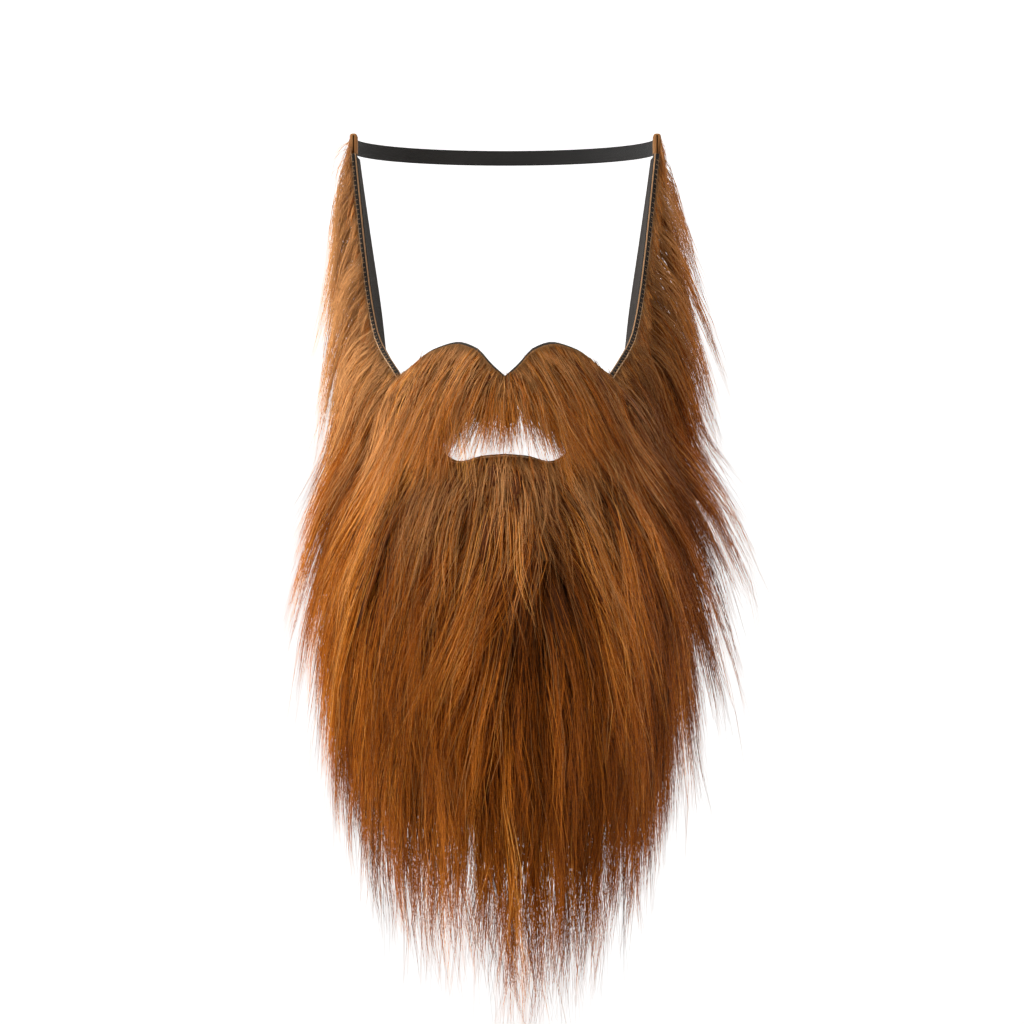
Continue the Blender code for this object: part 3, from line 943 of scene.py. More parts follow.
@dataclass
class BeardGroom:
    """Roots the beard's locks over the panel and combs them."""

    locks: int = 1300
    half_turn: float = 116.0
    pile_length: float = 0.112
    lock_width: float = 0.0066
    trimmed: float = 0.26
    trim_reach: float = 0.013
    sweep_jitter: float = 3.4
    drift_jitter: float = 4.2
    upper_share: float = 0.72
    right_tuck: float = 0.72
    left_tuck: float = 0.45
    left_flare: float = 0.40
    seed: int = 11

    def roots(self, chance: np.random.Generator) -> tuple[Array, Array]:
        """The angle and height of each lock's root, spread evenly over the panel."""
        u, v = low_discrepancy(self.locks * 4)
        angle = (u * 2 - 1) * self.half_turn
        height = -SIZES.panel_drop + v * (SIZES.tip + SIZES.panel_drop)
        behind = np.clip((np.abs(angle) - 88.0) / 24.0, 0, 1)
        keep = inside(BEARD_CUT.outline(), angle, height) & (chance.uniform(size=len(u)) > 0.45 * behind)
        angle, height = angle[keep], height[keep]
        thin = chance.permutation(len(angle))[: self.locks]
        return angle[np.sort(thin)], height[np.sort(thin)]

    def lengths(self, height: Array, chance: np.random.Generator) -> tuple[Array, Array]:
        """Each lock's share of the full length, and how stringy it is, from 0 to 1.

        The lowest locks are mostly short, and a few hang down long and thin.
        """
        count = len(height)
        low = np.clip((-0.070 - height) / 0.080, 0, 1)
        pick = chance.uniform(size=count)
        short = chance.uniform(0.32, 0.54, count)
        middle = chance.uniform(0.54, 0.82, count)
        long = chance.uniform(0.84, 1.08, count)
        stringy = np.where(pick < 0.46, short, np.where(pick < 0.72, middle, long))
        full = 1 + chance.uniform(-0.22, 0.06, count)
        return full + (stringy - full) * low, low * (stringy > 0.52)

    def comb(self) -> Guides:
        """Combs every lock of the beard.

        Returns:
            The guides.
        """
        chance = np.random.default_rng(self.seed)
        angle, height = self.roots(chance)
        count = len(angle)
        along = np.linspace(-1, 1, 120)
        inner_angle, inner_height, _, _ = BEARD_CUT.edges(along)
        reach = edge_distance(np.stack([inner_angle, inner_height], axis=-1), angle, height)
        cheek = np.clip((height - 0.03) / 0.05, 0, 1)
        lip = np.exp(-((angle / 26.0) ** 2)) * (1 - cheek)
        near_edge = np.exp(-reach / (self.trim_reach - 0.006 * cheek + 0.012 * lip))
        lies = height_of(column(LIES, "level"))
        sweep, length, lift = (
            np.interp(height, lies, column(LIES, name)) for name in ("sweep", "length", "lift")
        )
        press, push = parted(angle, height)
        ridge = Ripple(chance, 0.026, 0.30)(angle, height)
        # Streaks of painted shade down the pile, where the locks shade each other.
        band = Ripple(chance, 0.017, 0.22)(angle, height)
        side = np.clip(np.abs(angle) / 45.0, 0, 1)
        sweep = sweep * side + chance.normal(0, self.sweep_jitter, count) + push * np.sign(angle)
        low = np.clip(-height / 0.10, 0, 1)
        drift = sweep * 0.25 - (3.0 + 5.0 * low) * side + chance.normal(0, self.drift_jitter, count)
        sweep += 34.0 * np.exp(-reach / 0.012) * cheek + 12.0 * lip * np.exp(-reach / 0.02)
        lean = swirled(angle, height) + 5.0 * Ripple(chance, 0.040, 0.11)(angle, height)
        sweep += lean * np.sign(angle)
        drift += 0.25 * lean * np.sign(angle)
        share, stringy = self.lengths(height, chance)
        length = length * share * self.pile_length * (1 - (1 - self.trimmed) * near_edge)
        upper = chance.uniform(size=count) < self.upper_share
        layer = np.where(upper, chance.normal(0.90, 0.09, count), chance.uniform(0.30, 0.75, count))
        lift = lift * np.clip(layer + (0.36 - 0.24 * side * cheek) * ridge, 0.2, 1.20) * (1 - 0.70 * press)
        tucked = np.where(angle < 0, self.right_tuck, self.left_tuck)
        lift *= 1 - tucked * low * np.clip((np.abs(angle) - 25.0) / 35.0, 0, 1)
        flared = np.clip((angle - 38.0) / 22.0, 0, 1) * np.clip((height + 0.08) / 0.03, 0, 1)
        lift *= 1 + flared * (0.14 + self.left_flare * chance.uniform(size=count) ** 2)
        lift *= 1 + 0.16 * flared * np.clip((height - 0.07) / 0.03, 0, 1)
        right_cap = 1.34 - 0.30 * np.clip((0.085 - height) / 0.05, 0, 1)
        lift = np.minimum(lift, np.where(angle < 0, right_cap, 1.80))
        comb = Comb()
        lines = comb.run(angle, height, length, sweep, drift, lift, comb.ground, chance)
        # Painted light and shade: darker at the partings, in the valleys between ridges, in the shade streaks
        # and on the locks that lie lower; lighter on the ridges.
        tone = chance.normal(0.50, 0.08, count) - 0.34 * press + 0.16 * band + 0.18 * ridge
        tone = tone + 0.12 * (layer - 0.8)
        high = np.clip((height - 0.05) / 0.06, 0, 1)
        upper_right = np.clip((height - 0.085) / 0.03, 0, 1) * (angle < 0)
        left_low = np.clip(angle / 30.0, 0, 1) * (1 - high)
        # Painted light and shade from the key light above the wearer's right: lighter at the top and the
        # upper right, darker low down and at the lower left.
        tone += 0.12 * high - 0.19 * low + 0.12 * upper_right - 0.05 * left_low
        tan = 1.05 * np.exp(-reach / (0.009 + 0.010 * lip)) + 0.03 + 0.04 * chance.normal(size=count)
        # Paler tan high on the cheeks, most on the wearer's right: partly the pile's own paler colour, partly
        # a painted highlight towards the key light.
        tan += high * np.where(angle < 0, 0.36, 0.22) + 0.30 * upper_right
        behind = np.clip((np.abs(angle) - 86.0) / 22.0, 0, 1)
        width = self.lock_width * (0.8 + 0.4 * chance.uniform(size=count))
        return Guides(
            *lines,
            width=width * (1 - 0.50 * stringy) * (1 + 0.25 * cheek),
            tone=np.clip(tone, 0.04, 0.96),
            tan=np.clip(tan, 0, 1),
            fill=(1 - 0.35 * behind) * (1 - 0.38 * stringy) * (0.75 + 0.25 * upper),
        )


@dataclass
class MoustacheGroom:
    """Roots the moustache's locks and combs them away from the notch in the middle."""

    locks: int = 260
    pile_length: float = 0.050
    wisps: int = 250
    corners: int = 84
    seed: int = 23

    def comb(self) -> Guides:
        """Combs every lock of the moustache.

        Returns:
            The guides.
        """
        chance = np.random.default_rng(self.seed)
        u, v = low_discrepancy(self.locks)
        along = u * 2 - 1
        share = np.abs(along)
        angle = along * MOUSTACHE_HALF_ANGLE
        top, bottom = MOUSTACHE_CUT.top(share), MOUSTACHE_CUT.bottom(share)
        height = top + (bottom - top) * (0.05 + 0.95 * v)
        count = len(angle)
        sweep = 19.0 + 15.0 * np.sin(np.clip(share * 1.25, 0, 1) * math.pi) - 7.0 * share
        sweep = sweep + 4.0 * np.sign(angle)
        parting = np.where(along > 0, 0.32, 0.14)
        sweep = sweep * np.clip(0.20 + share / parting, 0, 1) + chance.normal(0, 4.5, count)
        drift = sweep * 0.60 - 3.0 + chance.normal(0, 6.0, count)
        length = self.pile_length * (0.92 + 0.08 * (1 - v)) * (1 + chance.uniform(-0.36, 0.14, count))
        length *= 1 + 0.75 * np.exp(-(((share - 0.62) / 0.20) ** 2))
        length *= 1 - 0.34 * np.exp(-((share / 0.15) ** 2))
        lift = 0.92 * np.clip(chance.normal(0.80, 0.16, count), 0.30, 1.1)
        base = MOUSTACHE_CUT.ground(angle, -LOCK_SINK)
        comb = Comb(rings=8, steepness=0.30, first_rise=0.0018, wave=0.0006)
        lines = comb.run(angle, height, length, sweep, drift, lift, base, chance)
        near_top = np.exp(-v / 0.35)
        return Guides(
            *lines,
            width=0.0038 * (0.8 + 0.4 * chance.uniform(size=count)),
            # Painted light and shade: the wearer's left is darker and less tan, away from the key light, and
            # the wearer's right is lighter and paler towards it.
            tone=np.clip(chance.normal(0.60, 0.11, count) - 0.12 * np.clip(along / 0.3, -0.6, 1), 0.05, 0.95),
            tan=np.clip(0.26 + 0.50 * near_top + 0.08 * chance.normal(size=count) - 0.10 * along, 0, 1),
        )

    def comb_corners(self) -> Guides:
        """Combs the long locks that fall over the two corners of the mouth opening."""
        chance = np.random.default_rng(self.seed + 2)
        left = chance.uniform(size=self.corners) < 0.62
        on_left = chance.uniform(11.0, 29.0, self.corners)
        angle = np.where(left, on_left, chance.uniform(-29.0, -17.5, self.corners))
        share = np.abs(angle) / MOUSTACHE_HALF_ANGLE
        top, bottom = MOUSTACHE_CUT.top(share), MOUSTACHE_CUT.bottom(share)
        height = top + (bottom - top) * chance.uniform(0.30, 0.98, self.corners)
        sweep = np.where(left, chance.normal(20.0, 7.0, self.corners), chance.normal(5.0, 5.0, self.corners))
        drift = sweep * 0.5 + chance.normal(0, 5.0, self.corners)
        length = height - chance.uniform(-0.004, 0.022, self.corners) + 0.010
        lift = chance.uniform(0.55, 1.05, self.corners)
        base = MOUSTACHE_CUT.ground(angle, -LOCK_SINK)
        comb = Comb(rings=8, steepness=0.26, first_rise=0.0018, wave=0.0009)
        lines = comb.run(angle, height, length, sweep, drift, lift, base, chance)
        return Guides(
            *lines,
            width=0.0034,
            tone=tones(chance, 0.60, 0.11, self.corners),
            tan=0.30,
        )

    def comb_wisps(self) -> Guides:
        """Combs the few loose strands that fall from the moustache across the mouth opening."""
        chance = np.random.default_rng(self.seed + 1)
        along = chance.uniform(-0.62, 0.80, self.wisps)
        share = np.abs(along)
        v = chance.uniform(0.35, 1.0, self.wisps)
        top, bottom = MOUSTACHE_CUT.top(share), MOUSTACHE_CUT.bottom(share)
        angle, height = along * MOUSTACHE_HALF_ANGLE, top + (bottom - top) * v
        left_sweep = chance.uniform(8.0, 46.0, self.wisps)
        sweep = np.where(along > 0, left_sweep, chance.uniform(-2.0, 26.0, self.wisps))
        sweep *= np.where(along > 0, np.clip(0.30 + along / 0.40, 0, 1), 1)
        drift = sweep * 0.5 + chance.normal(0, 8.0, self.wisps)
        length = chance.uniform(0.026, 0.044, self.wisps) + 0.024 * np.clip((sweep - 16.0) / 10.0, 0, 1)
        lift = chance.uniform(0.25, 0.9, self.wisps)
        base = MOUSTACHE_CUT.ground(angle)
        comb = Comb(rings=8, steepness=0.24, first_rise=0.0016, wave=0.0009)
        lines = comb.run(angle, height, length, sweep, drift, lift, base, chance)
        return Guides(
            *lines,
            width=0.0040,
            tone=tones(chance, 0.62, 0.14, self.wisps),
            tan=0.45,
        )


@dataclass
class StringGroom:
    """The thin strings of hair that hang lowest, from the panel's lower edge."""

    strings: int = 245
    reach: float = 74.0
    seed: int = 47

    def comb(self) -> Guides:
        """Combs the hanging strings.

        Returns:
            The guides.
        """
        chance = np.random.default_rng(self.seed)
        along = np.linspace(-1, 1, 400)
        _, _, outer_angle, outer_height = BEARD_CUT.edges(along)
        order = np.argsort(outer_angle)
        angle = (low_discrepancy(self.strings)[0] * 2 - 1) * self.reach
        angle = angle * np.abs(angle / self.reach) ** 0.25 + 3.0
        edge = np.interp(angle, outer_angle[order], outer_height[order])
        height = edge + chance.uniform(0.001, 0.026, self.strings)
        count = len(angle)
        side = np.clip(np.abs(angle) / 45.0, 0, 1)
        sweep = chance.normal(-3.0, 3.0, count) * side + chance.normal(0, 2.0, count)
        drift = chance.normal(-5.0, 3.0, count) * side + chance.normal(0, 2.5, count)
        longest = (0.1305 - 0.036 * (np.abs(angle) / self.reach) ** 1.5) * (1 + 0.07 * np.sign(angle))
        length = longest * (0.64 + 0.38 * chance.uniform(size=count) ** 0.75)
        lift = np.clip(chance.normal(0.62, 0.22, count), 0.15, 1.1) * (1 - 0.45 * side)
        comb = Comb(wave=0.0022)
        lines = comb.run(angle, height, length, sweep, drift, lift, comb.ground, chance)
        return Guides(
            *lines,
            width=chance.uniform(0.0022, 0.0046, count),
            tone=tones(chance, 0.50, 0.12, count),
            tan=0.04,
            fill=chance.uniform(0.6, 1.15, count),
        )


@dataclass
class FringeGroom:
    """Short fine hairs along the edges, under the mouth opening and on the tabs."""

    locks: int = 520
    lip_locks: int = 360
    patch_locks: int = 230
    tab_locks: int = 90
    hem_cover: float = 0.0026
    seed: int = 31

    def comb(self) -> Guides:
        """Combs the short hairs of the beard's inner edge, which are rooted on the hem's outer side."""
        chance = np.random.default_rng(self.seed)
        along = (low_discrepancy(self.locks)[0] * 2 - 1) * 0.998
        angle, height, _, toward = Hem().line(along)
        cheek = np.clip((height - 0.03) / 0.03, 0, 1)
        reach = chance.uniform(-0.0040, 1.0, self.locks) * (0.0006 + (self.hem_cover - 0.0006) * cheek)
        angle = angle + WORN.degrees(toward[:, 0] * reach, height)
        height = height + toward[:, 1] * reach
        count = len(angle)
        sweep = 8.0 + 34.0 * cheek + chance.normal(0, 12.0, count)
        drift = sweep * 0.5 + chance.normal(0, 7.0, count)
        length = chance.uniform(0.010, 0.020, count) + 0.006 * cheek
        lift = chance.uniform(0.15, 0.9, count)
        comb = Comb(rings=8, steepness=0.25, first_rise=0.0015, wave=0.0005)
        lines = comb.run(angle, height, length, sweep, drift, lift, comb.ground + 0.0009, chance)
        return Guides(
            *lines,
            width=0.0024,
            tone=tones(chance, 0.58, 0.15, count),
            tan=np.clip(chance.normal(0.75, 0.2, count), 0, 1),
        )

    def comb_lip(self) -> Guides:
        """Combs the short hairs of the moustache's upper edge."""
        chance = np.random.default_rng(self.seed + 1)
        along = (low_discrepancy(self.lip_locks)[0] * 2 - 1) * 0.99
        share = np.abs(along)
        angle = along * MOUSTACHE_HALF_ANGLE
        height = MOUSTACHE_CUT.top(share) - 0.0006 - 0.0036 * chance.uniform(size=self.lip_locks) ** 1.5
        count = len(angle)
        sweep = 30.0 * np.clip(0.3 + share / 0.14, 0, 1) + chance.normal(0, 9.0, count)
        length = chance.uniform(0.010, 0.022, count)
        lift = chance.uniform(0.2, 0.8, count)
        comb = Comb(rings=8, steepness=0.25, first_rise=0.0014, wave=0.0004)
        base = MOUSTACHE_CUT.ground(angle, 0.0001)
        lines = comb.run(angle, height, length, sweep, sweep * 0.8, lift, base, chance)
        return Guides(
            *lines,
            width=0.0011,
            tone=tones(chance, 0.60, 0.14, count),
            tan=0.70,
        )

    def comb_patch(self) -> Guides:
        """Combs the short fine hairs under the mouth opening, which fan out from its lower edge."""
        chance = np.random.default_rng(self.seed + 3)
        u, v = low_discrepancy(self.patch_locks)
        angle = (u * 2 - 1) * 33.0
        inner_angle, inner_height, _, _ = BEARD_CUT.edges(np.linspace(-1, 1, 400))
        height = np.interp(angle, inner_angle, inner_height) - 0.0006 - 0.030 * v**1.3
        count = len(angle)
        sweep = 8.0 + 30.0 * np.abs(angle) / 33.0 + chance.normal(0, 11.0, count)
        length = 0.013 + 0.014 * v + chance.uniform(-0.003, 0.004, count)
        lift = chance.uniform(0.35, 1.1, count)
        comb = Comb(rings=8, steepness=0.25, first_rise=0.0034, wave=0.0005)
        lines = comb.run(angle, height, length, sweep, sweep * 0.7, lift, comb.ground + 0.0004, chance)
        return Guides(
            *lines,
            width=0.0026,
            tone=tones(chance, 0.48, 0.15, count),
            tan=np.clip(0.85 - 0.5 * v, 0, 1),
        )

    def comb_tabs(self) -> Guides:
        """Combs the frayed hairs that cover the tabs and join them to the strap ends."""
        chance = np.random.default_rng(self.seed + 2)
        count = self.tab_locks
        side = np.where(np.arange(count) % 2 == 0, 1.0, -1.0)
        angle = side * chance.uniform(86.0, 99.0, count)
        height = SIZES.tip + chance.uniform(-0.004, 0.0085, count)
        sweep = chance.normal(0.0, 24.0, count)
        length = chance.uniform(0.010, 0.030, count)
        lift = chance.uniform(0.1, 1.0, count)
        comb = Comb(rings=8, steepness=0.25, first_rise=0.0012, wave=0.0008)
        lines = comb.run(angle, height, length, sweep, sweep * 0.4, lift, comb.ground + 0.0008, chance)
        return Guides(
            *lines,
            width=0.0026,
            tone=tones(chance, 0.55, 0.15, count),
            tan=0.45,
        )


# Strands


class Bundle(Enum):
    """How a tree fills a lock with strands."""

    COAT = "coat"
    CHEEK = "cheek"
    PATCH = "patch"
    STRING = "string"
    WISP = "wisp"
    MOUSTACHE = "moustache"
    FUZZ = "fuzz"
    STRAY = "stray"


@dataclass(frozen=True)
class BundleSizes:
    """The sizes that a tree's inputs take for one kind of bundle."""

    strands: int
    tufts: int
    segments: int
    thickness: float
    gather: float
    stray: float
    frizz: float
    shortest: float


BUNDLES = {
    Bundle.COAT: BundleSizes(18, 6, 4, 0.00015, 0.24, 0.0048, 0.0032, 0.55),
    Bundle.CHEEK: BundleSizes(28, 5, 3, 0.00015, 0.40, 0.0040, 0.0028, 0.50),
    Bundle.PATCH: BundleSizes(24, 12, 3, 0.00013, 0.00, 0.0046, 0.0026, 0.42),
    Bundle.STRING: BundleSizes(12, 3, 4, 0.00015, 0.42, 0.0030, 0.0034, 0.76),
    Bundle.WISP: BundleSizes(4, 4, 3, 0.00011, 0.00, 0.0032, 0.0018, 0.60),
    Bundle.MOUSTACHE: BundleSizes(18, 7, 3, 0.00013, 0.04, 0.0036, 0.0018, 0.50),
    Bundle.FUZZ: BundleSizes(6, 7, 2, 0.00011, 0.00, 0.0016, 0.0006, 0.45),
    Bundle.STRAY: BundleSizes(3, 3, 4, 0.00011, 0.00, 0.0090, 0.0050, 0.55),
}


class Tree(Wiring):
    """A small helper that builds a Geometry Nodes tree."""

    def __init__(self, name: str) -> None:
        """Starts a tree with a geometry input and output."""
        super().__init__(bpy.data.node_groups.new(name, "GeometryNodeTree"))
        for way in ("INPUT", "OUTPUT"):
            self.tree.interface.new_socket("Geometry", in_out=way, socket_type="NodeSocketGeometry")
        self.values: dict[str, float | int] = {}
        self.source = self.tree.nodes.new("NodeGroupInput")
        self.sink = self.tree.nodes.new("NodeGroupOutput")

    def size(self, name: str, kind: str, value: float | int) -> bpy.types.NodeSocket:
        """Adds a named input, keeps the value that a modifier gives it, and gives its socket."""
        made = self.tree.interface.new_socket(name, in_out="INPUT", socket_type=kind)
        self.values[made.identifier] = value
        return self.source.outputs[name]

    def apply(self, piece: bpy.types.Object) -> None:
        """Runs the tree on a piece's mesh, and leaves the result as its plain mesh."""
        modifier = piece.modifiers.new("made", "NODES")
        modifier.node_group = self.tree
        for identifier, value in self.values.items():
            modifier[identifier] = value
        graph = bpy.context.evaluated_depsgraph_get()
        made = bpy.data.meshes.new_from_object(piece.evaluated_get(graph))
        piece.modifiers.clear()
        piece.data = made
        made.name = piece.name

    def scaled(self, vector: object, factor: object) -> bpy.types.NodeSocket:
        """Scales a vector."""
        return self.node("ShaderNodeVectorMath", {0: vector, "Scale": factor}, operation="SCALE").outputs[0]

    def added(self, a: object, b: object) -> bpy.types.NodeSocket:
        """Adds two vectors."""
        return self.node("ShaderNodeVectorMath", {0: a, 1: b}, operation="ADD").outputs[0]

    def read(self, name: str, kind: str = "FLOAT") -> bpy.types.NodeSocket:
        """Reads a named attribute."""
        return self.node("GeometryNodeInputNamedAttribute", {"Name": name}, data_type=kind).outputs[0]

    def chance(self, low: float, high: float, number: object, seed: object) -> bpy.types.NodeSocket:
        """A random number between low and high for each number."""
        made = self.node("FunctionNodeRandomValue", {"ID": number, "Seed": seed}, data_type="FLOAT")
        floats = [socket for socket in made.inputs if socket.type == "VALUE"]
        for socket, value in zip(floats, (low, high)):
            socket.default_value = value
        return [socket for socket in made.outputs if socket.type == "VALUE"][0]

    def per_strand(self, value: bpy.types.NodeSocket, kind: str = "FLOAT") -> bpy.types.NodeSocket:
        """The value that a field has on each whole strand."""
        return self.node("GeometryNodeFieldOnDomain", {0: value}, domain="CURVE", data_type=kind).outputs[0]

    def keep(
        self, geometry: bpy.types.NodeSocket, name: str, value: object, domain: str, kind: str = "FLOAT"
    ) -> bpy.types.NodeSocket:
        """Stores a named attribute and gives the geometry."""
        made = self.node(
            "GeometryNodeStoreNamedAttribute",
            {"Geometry": geometry, "Name": name, "Value": value},
            data_type=kind,
            domain=domain,
        )
        return made.outputs[0]

    def finish(self, geometry: bpy.types.NodeSocket, material: bpy.types.Material) -> None:
        """Smooths the geometry, realizes its instances and gives it its material."""
        smooth = self.node("GeometryNodeSetShadeSmooth", {0: geometry}).outputs[0]
        real = self.node("GeometryNodeRealizeInstances", {0: smooth}).outputs[0]
        dressed = self.node("GeometryNodeSetMaterial", {"Geometry": real, "Material": material}).outputs[0]
        self.link(dressed, self.sink.inputs[0])


GUIDE_ATTRIBUTES = ("lock", "along", "outward", "across", "width", "tone", "tan", "fill")
USED_UP = ("copy", *GUIDE_ATTRIBUTES, "cell", "grow", "round")


class StrandTree(Tree):
    """Fills each guide with tufts of strands, and sweeps every strand into a tapered tube."""

    def __init__(self, name: str, sizes: BundleSizes, seed: int, material: bpy.types.Material) -> None:
        """Builds the tree.

        Args:
            name: the tree's name.
            sizes: the defaults of its inputs.
            seed: its random seed.
            material: the strands' material.
        """
        super().__init__(name)
        strands = self.size("Strands per lock", "NodeSocketInt", sizes.strands)
        tufts = self.size("Tufts per lock", "NodeSocketInt", sizes.tufts)
        segments = self.size("Rings per strand", "NodeSocketInt", sizes.segments + 1)
        thickness = self.size("Strand radius", "NodeSocketFloat", sizes.thickness)
        gather = self.size("Gather at tip", "NodeSocketFloat", sizes.gather)
        stray = self.size("Stray at tip", "NodeSocketFloat", sizes.stray)
        frizz_reach = self.size("Frizz", "NodeSocketFloat", sizes.frizz)
        shortest = self.size("Shortest strand", "NodeSocketFloat", sizes.shortest)
        seed_input = self.size("Seed", "NodeSocketInt", seed)

        curve = self.node("GeometryNodeMeshToCurve", {0: self.source.outputs["Geometry"]}).outputs[0]
        amount = self.math("ROUND", self.times(strands, self.per_strand(self.read("fill"))))
        double = self.node(
            "GeometryNodeDuplicateElements", {"Geometry": curve, "Amount": amount}, domain="SPLINE"
        )
        strand = self.keep(double.outputs[0], "copy", double.outputs[1], "CURVE", "INT")
        copy = self.per_strand(self.read("copy", "INT"), "INT")
        lock = self.per_strand(self.read("lock", "INT"), "INT")
        tuft = self.math("MODULO", copy, tufts)
        tuft_number = self.plus(self.times(lock, 64.0), tuft)
        strand_number = self.plus(self.times(lock, 64.0), copy)
        seeds = [self.plus(seed_input, float(k)) for k in range(11)]

        along = self.read("along")
        outward = self.read("outward", "FLOAT_VECTOR")
        across = self.read("across", "FLOAT_VECTOR")
        width = self.read("width")

        tuft_x = self.chance(-1.0, 1.0, tuft_number, seeds[0])
        tuft_y = self.chance(-0.75, 0.75, tuft_number, seeds[1])
        tuft_z = self.chance(-1.0, 1.0, tuft_number, seeds[2])
        own_x = self.chance(-1.0, 1.0, strand_number, seeds[3])
        own_y = self.chance(-1.0, 1.0, strand_number, seeds[4])
        own_z = self.chance(-1.0, 1.0, strand_number, seeds[5])

        lock_reach = self.math(
            "MULTIPLY", width, self.math("SUBTRACT", 1.0, self.times(gather, along))
        )
        own_root = self.times(width, self.math("SUBTRACT", 1.0, self.math("POWER", along, 0.5)))
        tip = self.times(stray, self.math("POWER", along, 1.6))
        own_reach = self.plus(self.times(own_root, 0.45), tip)
        own_reach = self.plus(own_reach, self.times(width, 0.07))

        out_share = self.times(self.math("MINIMUM", self.times(along, 6.0), 1.0), 0.42)
        sideways = self.math(
            "ADD", self.times(tuft_x, lock_reach), self.times(own_x, own_reach)
        )
        out = self.plus(self.times(tuft_y, lock_reach), self.times(own_y, own_reach))
        out = self.times(out, out_share)
        up = self.plus(self.times(tuft_z, width), self.times(own_z, width))
        up = self.times(up, 0.5)
        upward = self.node("FunctionNodeInputVector", vector=(0.0, 0.0, 1.0)).outputs[0]
        offset = self.added(
            self.added(self.scaled(across, sideways), self.scaled(outward, out)), self.scaled(upward, up)
        )
        place = self.node("GeometryNodeSetPosition", {"Geometry": strand, "Offset": offset}).outputs[0]

        length = self.chance(0.0, 1.0, strand_number, seeds[6])
        length = self.math("SUBTRACT", 1.0, self.times(length, self.math("SUBTRACT", 1.0, shortest)))
        trim = self.node("GeometryNodeTrimCurve", mode="FACTOR")
        self.link(place, trim.inputs["Curve"])
        ends = [socket for socket in trim.inputs if socket.name == "End" and socket.enabled]
        self.link(self.per_strand(length), ends[0])
        resampled = {"Curve": trim.outputs[0], "Count": segments}
        rings = self.node("GeometryNodeResampleCurve", resampled).outputs[0]

        number = self.node("GeometryNodeInputIndex").outputs[0]
        factor = self.node("GeometryNodeSplineParameter").outputs["Factor"]
        place_now = self.node("GeometryNodeInputPosition").outputs[0]
        apart = self.times(self.per_strand(self.read("copy", "INT"), "INT"), 3.7)
        apart = self.node("ShaderNodeCombineXYZ", {0: apart}).outputs[0]
        waves = {"Vector": self.added(place_now, apart), "Scale": 26.0, "Detail": 1.0}
        frizz = self.node("ShaderNodeTexNoise", waves, noise_dimensions="3D").outputs["Color"]
        centred = {0: frizz, 1: (0.5, 0.5, 0.5)}
        wiggle = self.node("ShaderNodeVectorMath", centred, operation="SUBTRACT").outputs[0]
        wiggle = self.scaled(wiggle, self.times(self.times(factor, 3.0), frizz_reach))
        rings = self.node("GeometryNodeSetPosition", {"Geometry": rings, "Offset": wiggle}).outputs[0]

        tone_jitter = self.chance(-0.26, 0.26, strand_number, seeds[7])
        tuft_jitter = self.chance(-0.14, 0.14, tuft_number, seeds[8])
        tone = self.plus(self.read("tone"), self.plus(tone_jitter, tuft_jitter))
        tone = self.math("MINIMUM", self.math("MAXIMUM", tone, 0.0), 0.999)
        is_tan = self.math("LESS_THAN", self.chance(0.0, 1.0, strand_number, seeds[9]), self.read("tan"))
        ginger = self.times(tone, TAN_SHARE)
        tan = self.plus(TAN_SHARE, self.times(tone, 1.0 - TAN_SHARE))
        blend = self.plus(ginger, self.times(is_tan, self.math("SUBTRACT", tan, ginger)))
        cell = self.math("FLOOR", self.times(blend, float(TONE_COLUMNS)))
        rings = self.keep(rings, "cell", self.per_strand(cell), "CURVE")
        rings = self.keep(rings, "grow", factor, "POINT")
        taper = self.math(
            "SUBTRACT", 1.0, self.times(self.math("POWER", factor, 2.2), 0.86)
        )
        girth = self.chance(0.75, 1.25, number, seeds[10])
        radius = self.times(thickness, self.times(taper, self.per_strand(girth)))
        rings = self.node("GeometryNodeSetCurveRadius", {"Curve": rings, "Radius": radius}).outputs[0]

        ring = self.node("GeometryNodeCurvePrimitiveCircle", {"Resolution": 3, "Radius": 1.0}).outputs[0]
        ring = self.keep(ring, "round", self.node("GeometryNodeSplineParameter").outputs["Factor"], "POINT")
        swept = self.node(
            "GeometryNodeCurveToMesh", {"Curve": rings, "Profile Curve": ring, "Fill Caps": True}
        )
        for socket in swept.inputs:
            if socket.name == "Scale":
                self.link(self.node("GeometryNodeInputRadius").outputs[0], socket)
        column_share = self.plus(0.12, self.times(self.read("round"), 1.1))
        u = self.math("DIVIDE", self.plus(self.read("cell"), column_share), float(TONE_COLUMNS))
        spot = self.node("ShaderNodeCombineXYZ", {0: u, 1: self.read("grow")}).outputs[0]
        mapped = self.keep(swept.outputs[0], "OFBake", spot, "CORNER", "FLOAT2")
        for name in USED_UP:
            mapped = self.node("GeometryNodeRemoveAttribute", {"Geometry": mapped, "Name": name}).outputs[0]
        self.finish(mapped, material)


def triangles(piece: bpy.types.Object) -> int:
    """How many triangles a piece has."""
    return sum(face.loop_total - 2 for face in piece.data.polygons)


def grown(
    name: str, guides: Guides, kind: Bundle, seed: int, material: bpy.types.Material
) -> bpy.types.Object:
    """Grows strands along guides and gives them as one plain mesh.

    Args:
        name: the piece's name.
        guides: the guides of its locks.
        kind: how each lock is filled.
        seed: the tree's seed.
        material: the strands' finish.

    Returns:
        The piece.
    """
    locks, rings = guides.points.shape[:2]
    piece = line_piece(name, guides.points)
    mesh = piece.data
    scalars = {"along": np.tile(np.linspace(0, 1, rings), locks)}
    for key in ("width", "tone", "tan", "fill"):
        scalars[key] = np.repeat(getattr(guides, key), rings)
    for key, values in scalars.items():
        layer = mesh.attributes.new(key, "FLOAT", "POINT")
        layer.data.foreach_set("value", values.astype(np.float32))
    layer = mesh.attributes.new("lock", "INT", "POINT")
    layer.data.foreach_set("value", np.repeat(np.arange(locks), rings).astype(np.int32))
    for key in ("across", "outward"):
        layer = mesh.attributes.new(key, "FLOAT_VECTOR", "POINT")
        layer.data.foreach_set("vector", getattr(guides, key).reshape(-1).astype(np.float32))
    StrandTree(name + "_tree", BUNDLES[kind], seed, material).apply(piece)
    LOG.info("%s: %d locks, %d triangles", name, locks, triangles(piece))
    return piece


